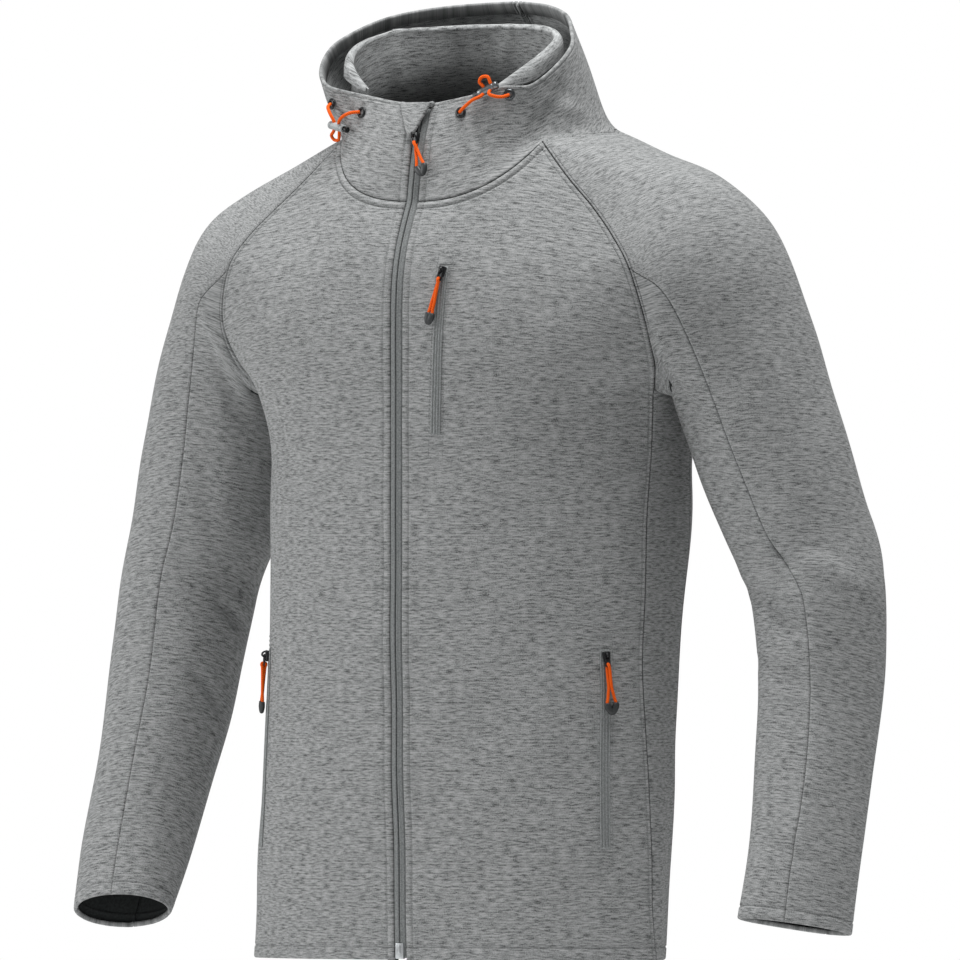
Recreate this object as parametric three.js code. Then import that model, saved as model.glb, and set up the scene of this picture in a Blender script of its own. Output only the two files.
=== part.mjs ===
// A hooded softshell jacket, worn on an invisible figure, in millimetres.
// +X is the wearer's left, -Y the front and +Z up. The origin is at the base of the neck.
import * as THREE from 'three';

const V = (x, y, z) => new THREE.Vector3(x, y, z);
const RAD = Math.PI / 180;
const between = (low, value, high) => Math.min(Math.max(value, low), high);
const run = (count, make) => Array.from({ length: count + 1 }, (_, i) => make(i));

// Driving sizes
const WALL = 1.6;
const SEAM_GAP = 0.36;
const FRONT_EDGE = 7.5;
const ZIP_TAPE_THICK = 1;
const ZIP_DEPTH = 0.7;
const COIL_HALF = 1.7;
const TAPE_INNER = 2.1;
const FRONT_COLUMNS = 7;
const SIDE_COLUMNS = 4;
const BODY_ROWS = 10;
const UPPER_ROWS = 7;
const BRANCH_ROW = 3;
const HOOD_ROWS = 6;
const LOFT_ROWS = 6;
const ARM_ROWS = 12;

// Torso sections from hem to armpit: half width, depths, and the side seams' angles from the front.
const TORSO = [
  { z: -713, half: 213, front: -140, back: 64, frontSeam: 87, backSeam: 118 },
  { z: -660, half: 211, front: -141, back: 70, frontSeam: 84, backSeam: 116 },
  { z: -570, half: 209, front: -144, back: 87, frontSeam: 82, backSeam: 113 },
  { z: -480, half: 204, front: -146, back: 103, frontSeam: 79, backSeam: 110 },
  { z: -390, half: 205, front: -147, back: 123, frontSeam: 77, backSeam: 107 },
  { z: -300, half: 207, front: -147, back: 138, frontSeam: 76, backSeam: 105 },
  { z: -240, half: 208, front: -147, back: 140, frontSeam: 77, backSeam: 105 },
  { z: -203, half: 218, front: -147, back: 140, frontSeam: 74, backSeam: 108 },
];

// Raglan rows from armpit to neck, front: the zip edge, the raglan seam and the cloth's turn at the seam.
const FRONT_RAGLAN = [
  { edgeY: -147, edgeZ: -203, x: 209.6, y: -43.4, z: -203, turn: 76 },
  { edgeY: -147.5, edgeZ: -179, x: 222, y: -64, z: -178, turn: 58 },
  { edgeY: -147.5, edgeZ: -154, x: 226, y: -86, z: -140, turn: 36 },
  { edgeY: -146.5, edgeZ: -127, x: 215, y: -94, z: -94, turn: 26 },
  { edgeY: -144, edgeZ: -101, x: 196, y: -91, z: -66, turn: 26 },
  { edgeY: -139, edgeZ: -77, x: 170, y: -84, z: -39, turn: 32 },
  { edgeY: -131, edgeZ: -55, x: 140, y: -79, z: -12, turn: 44 },
  { edgeY: -121, edgeZ: -33, x: 107, y: -71, z: 21, turn: 68 },
];

// The same rows behind, measured from the centre back.
const BACK_RAGLAN = [
  { edgeY: 140, edgeZ: -203, x: 207.3, y: 40.2, z: -203, turn: 76 },
  { edgeY: 139.5, edgeZ: -168, x: 219, y: 60, z: -177, turn: 56 },
  { edgeY: 138, edgeZ: -134, x: 222, y: 80, z: -138, turn: 38 },
  { edgeY: 133, edgeZ: -100, x: 212, y: 91, z: -93, turn: 28 },
  { edgeY: 126, edgeZ: -66, x: 194, y: 91, z: -62, turn: 28 },
  { edgeY: 115, edgeZ: -33, x: 170, y: 85, z: -33, turn: 34 },
  { edgeY: 101, edgeZ: 0, x: 142, y: 73, z: -2, turn: 46 },
  { edgeY: 86, edgeZ: 35, x: 109, y: 55, z: 30, turn: 62 },
];

// How far the side panel swells out behind the front seam and before the back seam, per mm of depth.
const SIDE_TURN = { front: 0.16, back: 0.2 };

// The neck seam over the shoulder, between the two raglan seams.
const NECK_SIDE = [
  { x: 121, y: -38, z: 26 },
  { x: 127, y: -5, z: 28 },
  { x: 121, y: 28, z: 29 },
];

// Arm angles, from the top of the shoulder towards the front, at which the armhole's points continue.
const NECK_ANGLES = [0, 12];
const RAGLAN_ANGLES = [156, 136, 114, 88, 71, 57, 43, 26];
const UNDER_ANGLES = [156, 168, 180, 192, 204];

// The shoulder's fullest ring on each side: centre, its half sizes upwards (slanted) and to the front,
// and how far the cloth runs on straight there, as a share of the way from the neck to the arm.
const SHOULDER = {
  left: { x: 252, y: -2, z: -126, upX: 26, upZ: 91, deep: 85, flow: 0.167 },
  right: { x: 250, y: -2, z: -127, upX: 25, upZ: 83, deep: 85, flow: 0.08 },
};

// Arm sections from the upper arm to the cuff: half sizes, the turn of the section and the seams' angles.
// The sleeves hang a little differently on the two sides, so each has its own place across and width.
const ARM = [
  { leftX: 277, rightX: 285, y: 17, z: -212, leftWide: 69, rightWide: 70, deep: 72, turn: 0 },
  { leftX: 307, rightX: 311, y: 26, z: -300, leftWide: 67.5, rightWide: 70.5, deep: 67, turn: 0 },
  { leftX: 328, rightX: 332, y: 29, z: -355, leftWide: 62, rightWide: 64, deep: 62, turn: 0 },
  { leftX: 342, rightX: 340, y: 25, z: -400, leftWide: 60, rightWide: 62.5, deep: 60, turn: 2 },
  { leftX: 346, rightX: 350.5, y: 18, z: -480, leftWide: 55.5, rightWide: 60, deep: 56, turn: 5 },
  { leftX: 352, rightX: 358, y: -7, z: -570, leftWide: 52.5, rightWide: 54.5, deep: 49, turn: 9 },
  { leftX: 356, rightX: 363, y: -28, z: -636, leftWide: 51.5, rightWide: 54, deep: 42, turn: 13 },
  { leftX: 357, rightX: 364, y: -41, z: -676, leftWide: 52.5, rightWide: 54.5, deep: 36, turn: 15 },
];

// The angles from the arm's outer side at which its seams lie, on the same sections.
const ARM_SEAMS = [
  { left: 86, right: 90, back: 66 },
  { left: 86, right: 94, back: 62 },
  { left: 84, right: 97, back: 58 },
  { left: 74, right: 100, back: 57 },
  { left: 72, right: 104, back: 58 },
  { left: 76, right: 108, back: 62 },
  { left: 86, right: 111, back: 66 },
  { left: 90, right: 112, back: 68 },
];

// How far the cuff's plane is raised towards the front three-quarter side, per mm of depth, on each arm.
const CUFF_SLANT = { left: -0.18, right: 0.11 };
const CUFF_DROP = { left: 6, right: -3.5 };
const CUFF_SLANT_FROM = { x: 0.545, y: -0.839 };

// The hood's rim from the chin round one side to the centre back, on each side: it stands askew as worn.
const RIM = {
  left: [
    { x: 8, y: -98, z: 54 },
    { x: 48, y: -95, z: 62 },
    { x: 78, y: -89, z: 69 },
    { x: 98, y: -75, z: 70 },
    { x: 108, y: -48, z: 88 },
    { x: 99, y: -8, z: 107 },
    { x: 83, y: 18, z: 121 },
    { x: 64, y: 40, z: 136 },
    { x: 34, y: 52, z: 145 },
    { x: -4, y: 57, z: 148 },
  ],
  right: [
    { x: 8, y: -98, z: 54 },
    { x: 32, y: -95, z: 56 },
    { x: 64, y: -87, z: 61 },
    { x: 96, y: -80, z: 66 },
    { x: 124, y: -74, z: 72 },
    { x: 140, y: -60, z: 86 },
    { x: 139, y: -41, z: 108 },
    { x: 120, y: -14, z: 126 },
    { x: 94, y: 10, z: 137 },
    { x: 48, y: 44, z: 146 },
    { x: 4, y: 57, z: 148 },
  ],
};

// The hood's fullest line between neck seam and rim, by angle from the front.
const BULGE = [
  { angle: 0, left: 112, right: 112, z: 10 },
  { angle: 40, left: 117, right: 121, z: 24 },
  { angle: 70, left: 120, right: 138, z: 42 },
  { angle: 105, left: 107, right: 141, z: 58 },
  { angle: 140, left: 102, right: 129, z: 66 },
  { angle: 180, left: 118, right: 118, z: 68 },
];

// The inner fold ring, from the wearer's left front round the back to the right front.
const INNER_RING = [
  { x: 66, y: -84, z: 66 },
  { x: 80, y: -66, z: 82 },
  { x: 84, y: -36, z: 98 },
  { x: 76, y: 0, z: 113 },
  { x: 50, y: 22, z: 121 },
  { x: 16, y: 30, z: 124 },
  { x: -24, y: 24, z: 124 },
  { x: -60, y: 8, z: 122 },
  { x: -86, y: -14, z: 120 },
  { x: -108, y: -40, z: 106 },
  { x: -102, y: -60, z: 88 },
  { x: -76, y: -76, z: 68 },
];
const INNER_COLUMNS = 22;
const INNER_RISE = [
  { inward: 0, up: 0 },
  { inward: 0.5, up: 0.12 },
  { inward: 0.84, up: 0.44 },
  { inward: 0.97, up: 0.92 },
];
const INNER_LIP = { out: 7, drop: 16, least: 0.15, columns: 3 };
const INNER_LIP_STEPS = [
  { out: 0, drop: 0 },
  { out: 0.45, drop: -0.08 },
  { out: 0.9, drop: 0.25 },
  { out: 1, drop: 1 },
];
const INNER_FOOT_ROW = 2;
const INNER_CLEAR = 1.3;

// The chin guard, a flap over the zip's top: its lowest corner and its two upper corners.
const GUARD = {
  footLeft: -3, footRight: -9, topLeft: 9, topRight: -26, foot: 27, top: 55, out: 5.6, lie: 3.1, bend: 220,
};
const GUARD_ROWS = 3;
const GUARD_COLUMNS = 4;

// The front zip, from the box at the hem to under the chin guard.
const ZIP_BOX = { width: 8.6, height: 14, thick: 4 };
const ZIP_TOP = 50;
const COIL_TOP = 20;
const COIL_THICK = 1.6;
const COIL_DEPTH = 0.2;

// Pocket zips on the fronts: where each strip starts and ends.
const POCKET_STRIP = { half: 4.8, thick: 1, steps: 12, clear: 0.55 };
const CHEST_ZIP = { topX: 47.5, topZ: -92, footX: 41.6, footZ: -243 };
const HAND_ZIP = { topX: 179, topZ: -435, footX: 184, footZ: -614 };

// Zip pulls: where each hangs from and where its tip lies, and how far its middle stands out from the cloth.
const PULL_OUT = 5.6;
const CHEST_PULL = { fromX: 47.8, fromZ: -97, toX: 37, toZ: -146 };
const HAND_PULL = { fromX: 179.4, fromZ: -441, toX: 184, toZ: -494 };
const FRONT_PULL = { fromX: -3, fromZ: 25, toX: 13, toZ: -12, rise: 0.7, facing: [0, -0.97, 0.2] };
const SLIDER = { width: 8, height: 10, thick: 2.3, rise: 2.2 };
const TAB = { width: 4.6, height: 10, thick: 1.4, head: 0.6, eye: 1.1 };
const PULL_CORD = { radius: 1.1, apart: 3.6, sides: 8, steps: 14 };
const TIP = { width: 12, foot: 7, height: 11, thick: 4.2 };
const PART_GAP = 0.4;

// Drawcords: eyelets, locks, and the cord's way from eyelet to lock, round its loop and to the other eyelet.
const EYELET = { outer: 5.2, inner: 2.6, thick: 1.4, clear: 0.6 };
const EYELETS = {
  right_outer: { at: [-114.8, -75.1, 54.9], facing: [-0.4, -0.91, 0.03] },
  right_inner: { at: [-74.1, -88.3, 46.8], facing: [-0.27, -0.93, 0.24] },
  left_inner: { at: [39.3, -99.4, 45.9], facing: [0.13, -0.97, 0.19] },
  left_outer: { at: [82.2, -86, 62.1], facing: [0.45, -0.89, -0.11] },
};
const LOCK = { radius: 3.6, length: 20, sides: 12, plungerRadius: 2.8, plungerLength: 5 };
const LOCKS = {
  right: { at: [-101.1, -87.9, 34.2], along: [0.93, -0.29, -0.2] },
  left: { at: [66.5, -96.4, 67], along: [-0.88, -0.19, -0.43] },
};
const DRAWCORD = { radius: 1.5, sides: 8, step: 5 };
const DRAWCORDS = {
  right_outer: [[-115.3, -76.7, 54.9], [-113.5, -84, 52], [-108.5, -88, 46], [-104.6, -87.9, 39.4]],
  right_loop: [
    [-105.2, -87.1, 30.2], [-108.8, -85.3, 26.6], [-105.8, -85.4, 22.6], [-99.8, -87.2, 22.6],
    [-97.9, -89.1, 29],
  ],
  right_inner: [[-74.8, -90.8, 47.4], [-82, -95.4, 46.5], [-91, -94.5, 43], [-97.5, -90.2, 38.6]],
  left_inner: [[39.7, -102.1, 46.5], [46, -105, 50.5], [55, -104.8, 57], [62, -101.5, 60.8]],
  left_loop: [
    [61.8, -97.6, 69.6], [58.6, -98.6, 73.4], [61, -98.6, 77.6], [66.8, -97.8, 78], [68.9, -96.8, 72.8],
  ],
  left_outer: [[83.2, -88.1, 61.8], [80.5, -95, 60], [75.5, -99, 60.4], [70, -100.8, 63]],
};

const CLOTH = { color: 0x858787, roughness: 0.95, metalness: 0 };
const TAPE = { color: 0x6c6e6e, roughness: 0.85, metalness: 0 };
const BLACK = { color: 0x1c1e20, roughness: 0.5, metalness: 0.2 };
const METAL = { color: 0xb9bcbe, roughness: 0.35, metalness: 0.8 };
const ORANGE = { color: 0xff5a14, roughness: 0.8, metalness: 0 };

const jacket = new THREE.Group();

// Adds a named piece with its own material.
function addPiece(name, geometry, finish) {
  const mesh = new THREE.Mesh(geometry, new THREE.MeshStandardMaterial(finish));
  mesh.name = name;
  jacket.add(mesh);
  return mesh;
}

// A smooth value of one column at any place between a table's rows, by row number.
function smoothRow(table, column, place) {
  const last = table.length - 1;
  const i = between(0, Math.floor(place), last - 1);
  const f = place - i;
  const [a, b, c, d] = [i - 1, i, i + 1, i + 2].map((k) => table[between(0, k, last)][column]);
  const slope = (c - a) * f;
  const bend = (2 * a - 5 * b + 4 * c - d) * f * f + (3 * b - a - 3 * c + d) * f ** 3;
  return (2 * b + slope + bend) / 2;
}

// The row number at which a table's key column has a value.
function rowOf(table, key, value) {
  for (let i = 0; i < table.length - 1; i += 1) {
    const [a, b] = [table[i][key], table[i + 1][key]];
    if ((value - a) * (value - b) <= 0) return i + (value - a) / (b - a);
  }
  const last = table.length - 1;
  const nearFirst = Math.abs(value - table[0][key]) < Math.abs(value - table[last][key]);
  return nearFirst ? 0 : last;
}

// A point on a cubic arc that leaves the start along one handle and arrives along the other.
function arc(start, leave, end, arrive, t) {
  const u = 1 - t;
  const b = start.clone().add(leave);
  const c = end.clone().sub(arrive);
  return start.clone().multiplyScalar(u ** 3)
    .addScaledVector(b, 3 * u * u * t)
    .addScaledVector(c, 3 * u * t * t)
    .addScaledVector(end, t ** 3);
}

// A point of the torso's section at a height and an angle from the front.
function torsoPoint(z, angle) {
  const row = rowOf(TORSO, 'z', z);
  const half = smoothRow(TORSO, 'half', row);
  const front = smoothRow(TORSO, 'front', row);
  const back = smoothRow(TORSO, 'back', row);
  const middle = (front + back) / 2;
  const depth = (back - front) / 2;
  return V(half * Math.sin(angle * RAD), middle - depth * Math.cos(angle * RAD), z);
}

// The angle at which the front's zip edge lies.
function edgeAngle(z) {
  const half = smoothRow(TORSO, 'half', rowOf(TORSO, 'z', z));
  return Math.asin(FRONT_EDGE / half) / RAD;
}

// One row of the body below the armpit, between two angles.
function torsoRow(z, from, to) {
  return run(FRONT_COLUMNS, (i) => torsoPoint(z, from + ((to - from) * i) / FRONT_COLUMNS));
}

// Heights of the body's rows from the hem to just under the armpit.
function bodyHeights() {
  const hem = TORSO[0].z;
  const armpit = TORSO[TORSO.length - 1].z;
  return Array.from({ length: BODY_ROWS }, (_, i) => hem + ((armpit - hem) * i) / BODY_ROWS);
}

// Shares of a raglan row's reach at which its cloth leaves the centre edge and arrives at the seam.
const RAGLAN_HANDLES = { leave: 0.42, arrive: 0.3, rise: 0.62 };

// One row of a front or back above the armpit, from its centre edge to the raglan seam.
function raglanRow(row, edgeX, facing) {
  const start = V(edgeX, row.edgeY, row.edgeZ);
  const end = V(row.x, row.y, row.z);
  const reach = start.distanceTo(end);
  const leave = V(reach * RAGLAN_HANDLES.leave, 0, 0);
  const turn = row.turn * RAD;
  const arrive = V(Math.cos(turn), -facing * Math.sin(turn), 0).multiplyScalar(reach * RAGLAN_HANDLES.arrive);
  arrive.z = (row.z - row.edgeZ) * RAGLAN_HANDLES.rise;
  return run(FRONT_COLUMNS, (i) => arc(start, leave, end, arrive, i / FRONT_COLUMNS));
}

// The left front: rows from hem to neck, each from the zip edge to the side or raglan seam.
function frontGrid() {
  const rows = bodyHeights().map((z) => (
    torsoRow(z, edgeAngle(z), smoothRow(TORSO, 'frontSeam', rowOf(TORSO, 'z', z)))));
  FRONT_RAGLAN.forEach((row) => rows.push(raglanRow(row, FRONT_EDGE, -1)));
  return rows;
}

// The whole back: rows from hem to neck, each from the left seam to the right seam.
function backGrid() {
  const rows = bodyHeights().map((z) => (
    torsoRow(z, 180, smoothRow(TORSO, 'backSeam', rowOf(TORSO, 'z', z)))));
  BACK_RAGLAN.forEach((row) => rows.push(raglanRow(row, 0, 1)));
  return rows.map((half) => {
    const left = [...half].reverse();
    const right = half.slice(1).map((p) => V(-p.x, p.y, p.z));
    return [...left, ...right];
  });
}

// The left side panel, from the front side seam to the back side seam, up to the armpit.
function sideGrid(front, back) {
  return [...bodyHeights(), TORSO[TORSO.length - 1].z].map((z, k) => {
    const start = front[k][FRONT_COLUMNS];
    const end = back[k][0];
    const reach = start.distanceTo(end) / 3;
    const leave = V(SIDE_TURN.front, 1, 0).normalize().multiplyScalar(reach);
    const arrive = V(-SIDE_TURN.back, 1, 0).normalize().multiplyScalar(reach);
    return run(SIDE_COLUMNS, (i) => arc(start, leave, end, arrive, i / SIDE_COLUMNS));
  });
}

// The armhole's points with the arm angle of each, from the shoulder's top round the front and under the arm.
function armhole(front, back, side) {
  const ring = [];
  const add = (point, angle) => ring.push({ point, angle });
  add(V(NECK_SIDE[1].x, NECK_SIDE[1].y, NECK_SIDE[1].z), NECK_ANGLES[0]);
  add(V(NECK_SIDE[0].x, NECK_SIDE[0].y, NECK_SIDE[0].z), NECK_ANGLES[1]);
  for (let k = UPPER_ROWS; k >= 0; k -= 1) {
    add(front[BODY_ROWS + k][FRONT_COLUMNS], RAGLAN_ANGLES[k]);
  }
  for (let i = 1; i < SIDE_COLUMNS; i += 1) {
    add(side[BODY_ROWS][i], UNDER_ANGLES[i]);
  }
  for (let k = 0; k <= UPPER_ROWS; k += 1) {
    add(back[BODY_ROWS + k][0], 360 - RAGLAN_ANGLES[k]);
  }
  add(V(NECK_SIDE[2].x, NECK_SIDE[2].y, NECK_SIDE[2].z), 360 - NECK_ANGLES[1]);
  add(V(NECK_SIDE[1].x, NECK_SIDE[1].y, NECK_SIDE[1].z), 360);
  return ring;
}

// The arm angle on a lower section, with the seams moved to where they lie there.
function movedAngle(angle, frontSeam, backSeam) {
  const base = RAGLAN_ANGLES[BRANCH_ROW];
  if (angle <= base) return (angle / base) * frontSeam;
  if (angle >= 360 - base) return 360 - ((360 - angle) / base) * backSeam;
  const share = (angle - base) / (360 - 2 * base);
  return frontSeam + share * (360 - backSeam - frontSeam);
}

// The middle of the arm's section at a place down the arm table.
function armCentre(place, side) {
  return V(smoothRow(ARM, `${side}X`, place), smoothRow(ARM, 'y', place), smoothRow(ARM, 'z', place));
}

// The part of a table row over which the arm's way is measured.
const ARM_STEP = 0.25;

// A point on the arm's section at a place down the arm table.
function armPoint(place, angle, side) {
  const get = (column) => smoothRow(ARM, column, place);
  const centre = armCentre(place, side);
  const ahead = armCentre(Math.min(place + ARM_STEP, ARM.length - 1), side);
  const along = ahead.sub(armCentre(Math.max(place - ARM_STEP, 0), side)).normalize();
  const out = V(1, 0, 0).addScaledVector(along, -along.x).normalize();
  const forward = V().crossVectors(along, out).normalize();
  const turn = get('turn') * RAD;
  const wideWay = out.clone().multiplyScalar(Math.cos(turn)).addScaledVector(forward, -Math.sin(turn));
  const deepWay = forward.clone().multiplyScalar(Math.cos(turn)).addScaledVector(out, Math.sin(turn));
  const seam = smoothRow(ARM_SEAMS, side, place);
  const a = movedAngle(angle, seam, smoothRow(ARM_SEAMS, 'back', place)) * RAD;
  const arm = centre.clone()
    .addScaledVector(wideWay, get(`${side}Wide`) * Math.cos(a))
    .addScaledVector(deepWay, get('deep') * Math.sin(a));
  const low = Math.max(0, place - (ARM.length - 2));
  const facing = side === 'left' ? 1 : -1;
  const across = (arm.x - centre.x) * CUFF_SLANT_FROM.x * facing;
  const lean = across + (arm.y - centre.y) * CUFF_SLANT_FROM.y;
  arm.z += (CUFF_SLANT[side] * lean - CUFF_DROP[side]) * low;
  return arm;
}

// A point on the shoulder's fullest ring.
function shoulderPoint(angle, side) {
  const a = angle * RAD;
  const size = SHOULDER[side];
  return V(
    size.x + size.upX * Math.cos(a),
    size.y - size.deep * Math.sin(a),
    size.z + size.upZ * Math.cos(a),
  );
}

// The share of the way to the shoulder's ring over which the cloth leaves the armhole straight.
const ARMHOLE_HANDLE = 0.36;

// A point of the sleeve between the armhole and the upper arm, at a share of the way.
function loftPoint(point, angle, side, t) {
  const mid = shoulderPoint(angle, side);
  const first = armPoint(0, angle, side);
  const midWay = first.clone().sub(point).multiplyScalar(SHOULDER[side].flow);
  const half = 1 / 2;
  if (t <= half) {
    const leave = mid.clone().sub(point).multiplyScalar(ARMHOLE_HANDLE);
    return arc(point, leave, mid, midWay, t / half);
  }
  const along = armPoint(ARM_STEP, angle, side).sub(first).normalize();
  const arrive = along.multiplyScalar(mid.distanceTo(first) / 3);
  return arc(mid, midWay, first, arrive, (t - half) / half);
}

// One sleeve's rows from the armhole to the cuff.
function sleeveGrid(ring, side) {
  const share = (ARM.length - 1) / ARM_ROWS;
  const loft = run(LOFT_ROWS, (r) => (
    ring.map(({ point, angle }) => loftPoint(point, angle, side, r / LOFT_ROWS))));
  const arm = run(ARM_ROWS, (r) => ring.map(({ angle }) => armPoint(r * share, angle, side)));
  return [...loft, ...arm.slice(1)];
}

// The neck seam's points from the zip edge round the left side to the centre back.
function neckLine(front, back) {
  const points = front[front.length - 1].map((p) => p.clone());
  NECK_SIDE.forEach((p) => points.push(V(p.x, p.y, p.z)));
  back[back.length - 1].slice(0, FRONT_COLUMNS + 1).forEach((p) => points.push(p.clone()));
  return points;
}

// The angle of a point round the neck, from the front, in degrees.
function polarAngle(p) {
  return Math.atan2(p.x, -p.y) / RAD;
}

// One half of the hood's outside, from the neck seam up to the rim, for a side.
function hoodGrid(neck, side) {
  const last = neck.length - 1;
  const rim = RIM[side];
  const rows = [];
  for (let r = 0; r <= HOOD_ROWS; r += 1) {
    const t = r / HOOD_ROWS;
    rows.push(neck.map((low, i) => {
      const place = ((rim.length - 1) * i) / last;
      const top = V(smoothRow(rim, 'x', place), smoothRow(rim, 'y', place), smoothRow(rim, 'z', place));
      if (i === last) top.x = 0;
      const angle = (polarAngle(low) + polarAngle(top)) / 2;
      const b = rowOf(BULGE, 'angle', angle);
      const radius = smoothRow(BULGE, side, b);
      const sideways = Math.sin(angle * RAD);
      const full = V(radius * sideways, -radius * Math.cos(angle * RAD), smoothRow(BULGE, 'z', b));
      if (i === 0) full.x = FRONT_EDGE;
      if (i === last) full.x = 0;
      const u = 1 - t;
      const guide = full.multiplyScalar(2).addScaledVector(low.clone().add(top), -1 / 2);
      return low.clone().multiplyScalar(u * u).addScaledVector(guide, 2 * u * t).addScaledVector(top, t * t);
    }));
  }
  return rows;
}

// The point inside the hood's wall, low down, that lies in the direction of another point.
function hoodInside(toward) {
  const side = toward.x > 0 ? 'left' : 'right';
  const row = hood[side][INNER_FOOT_ROW];
  const wanted = polarAngle(V(Math.abs(toward.x), toward.y, 0));
  const i = Math.max(1, row.findIndex((p) => polarAngle(p) >= wanted));
  const [a, b] = [row[i - 1], row[i]];
  const share = (wanted - polarAngle(a)) / (polarAngle(b) - polarAngle(a));
  const wall = a.clone().lerp(b, between(0, share, 1));
  const flat = Math.hypot(wall.x, wall.y);
  const inward = (flat - WALL - INNER_CLEAR) / flat;
  return V(wall.x * inward * (toward.x > 0 ? 1 : -1), wall.y * inward, wall.z);
}

// How much of its full size the inner ring's lip has at a column: it runs out at both ends.
function lipShare(column) {
  const fromEnd = Math.min(column, INNER_COLUMNS - column);
  return INNER_LIP.least + (1 - INNER_LIP.least) * Math.min(1, fromEnd / INNER_LIP.columns);
}

// The hood's inner ring: up from inside the neck to the fold, over it and down into the hollow.
function innerGrid() {
  const last = INNER_RING.length - 1;
  const tops = run(INNER_COLUMNS, (i) => {
    const place = (last * i) / INNER_COLUMNS;
    return V(...['x', 'y', 'z'].map((column) => smoothRow(INNER_RING, column, place)));
  });
  const rows = INNER_RISE.map(({ inward, up }) => tops.map((top) => {
    const foot = hoodInside(top);
    const way = top.clone().sub(foot);
    return foot.add(V(way.x * inward, way.y * inward, way.z * up));
  }));
  INNER_LIP_STEPS.forEach((step) => rows.push(tops.map((top, i) => {
    const out = V(top.x, top.y, 0).normalize().multiplyScalar(INNER_LIP.out * step.out * lipShare(i));
    return top.clone().add(out).add(V(0, 0, -INNER_LIP.drop * step.drop * lipShare(i)));
  })));
  return rows;
}

// Mirrors a grid to the wearer's right.
function mirrored(grid) {
  return grid.map((row) => row.map((p) => V(-p.x, p.y, p.z)));
}

const pointKey = (p) => `${Math.round(p.x * 20)},${Math.round(p.y * 20)},${Math.round(p.z * 20)}`;

// Adds each cell's normal of a grid to its corners, in a table shared by the pieces that are sewn together.
function gatherNormals(table, grid, flip) {
  for (let r = 0; r < grid.length - 1; r += 1) {
    for (let c = 0; c < grid[0].length - 1; c += 1) {
      const corners = [grid[r][c], grid[r][c + 1], grid[r + 1][c + 1], grid[r + 1][c]];
      const rise = corners[2].clone().sub(corners[0]);
      const fall = corners[3].clone().sub(corners[1]);
      const normal = V().crossVectors(rise, fall).normalize().multiplyScalar(flip);
      corners.forEach((p) => {
        const key = pointKey(p);
        if (!table.has(key)) table.set(key, V(0, 0, 0));
        table.get(key).add(normal);
      });
    }
  }
}

// A grid's edge points drawn in by half the seam gap, square to the edge.
function drawnIn(grid) {
  const rows = grid.length;
  const columns = grid[0].length;
  const pull = (p, inside, before, after) => {
    const along = after.clone().sub(before).normalize();
    const way = inside.clone().sub(p);
    way.addScaledVector(along, -way.dot(along)).normalize();
    return way.multiplyScalar(SEAM_GAP / 2 + 0.01);
  };
  return grid.map((row, r) => row.map((p, c) => {
    const moved = p.clone();
    const [up, down] = [grid[Math.min(r + 1, rows - 1)][c], grid[Math.max(r - 1, 0)][c]];
    const [right, left] = [row[Math.min(c + 1, columns - 1)], row[Math.max(c - 1, 0)]];
    if (r === 0) moved.add(pull(p, grid[1][c], left, right));
    if (r === rows - 1) moved.add(pull(p, grid[rows - 2][c], left, right));
    if (c === 0) moved.add(pull(p, row[1], down, up));
    if (c === columns - 1) moved.add(pull(p, row[columns - 2], down, up));
    return moved;
  }));
}

// The volume inside a closed shape, negative where its faces point in.
function signedVolume(points, faces) {
  let sum = 0;
  for (let i = 0; i < faces.length; i += 3) {
    const [a, b, c] = [points[faces[i]], points[faces[i + 1]], points[faces[i + 2]]];
    sum += a.dot(V().crossVectors(b, c));
  }
  return sum;
}

// A closed geometry from points and triangles, with its faces turned outwards.
function closedGeometry(points, faces) {
  if (signedVolume(points, faces) < 0) {
    for (let i = 0; i < faces.length; i += 3) {
      [faces[i], faces[i + 1]] = [faces[i + 1], faces[i]];
    }
  }
  const geometry = new THREE.BufferGeometry();
  const places = points.flatMap((p) => [p.x, p.y, p.z]);
  geometry.setAttribute('position', new THREE.Float32BufferAttribute(places, 3));
  geometry.setIndex(faces);
  geometry.computeVertexNormals();
  return geometry;
}

// A closed wall between an outer grid and an inner grid of the same size.
function wallBetween(outer, inner) {
  const rows = outer.length;
  const columns = outer[0].length;
  const points = [...outer.flat(), ...inner.flat()];
  const half = rows * columns;
  const faces = [];
  const id = (r, c, layer) => layer * half + r * columns + c;
  const quad = (a, b, c, d) => faces.push(a, b, c, a, c, d);
  for (let r = 0; r < rows - 1; r += 1) {
    for (let c = 0; c < columns - 1; c += 1) {
      quad(id(r, c, 0), id(r, c + 1, 0), id(r + 1, c + 1, 0), id(r + 1, c, 0));
      quad(id(r, c, 1), id(r + 1, c, 1), id(r + 1, c + 1, 1), id(r, c + 1, 1));
    }
  }
  for (let c = 0; c < columns - 1; c += 1) {
    quad(id(0, c, 0), id(0, c, 1), id(0, c + 1, 1), id(0, c + 1, 0));
    quad(id(rows - 1, c, 0), id(rows - 1, c + 1, 0), id(rows - 1, c + 1, 1), id(rows - 1, c, 1));
  }
  for (let r = 0; r < rows - 1; r += 1) {
    quad(id(r, 0, 0), id(r + 1, 0, 0), id(r + 1, 0, 1), id(r, 0, 1));
    quad(id(r, columns - 1, 0), id(r, columns - 1, 1), id(r + 1, columns - 1, 1), id(r + 1, columns - 1, 0));
  }
  return closedGeometry(points, faces);
}

// A sewn panel: its outer grid, its shared normals, and the wall made from them.
function panel(name, grid, normals, finish = CLOTH) {
  const outer = drawnIn(grid);
  const inner = outer.map((row, r) => row.map((p, c) => {
    const normal = normals.get(pointKey(grid[r][c])).clone().normalize();
    return p.clone().addScaledVector(normal, -WALL);
  }));
  addPiece(name, wallBetween(outer, inner), finish);
}

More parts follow.
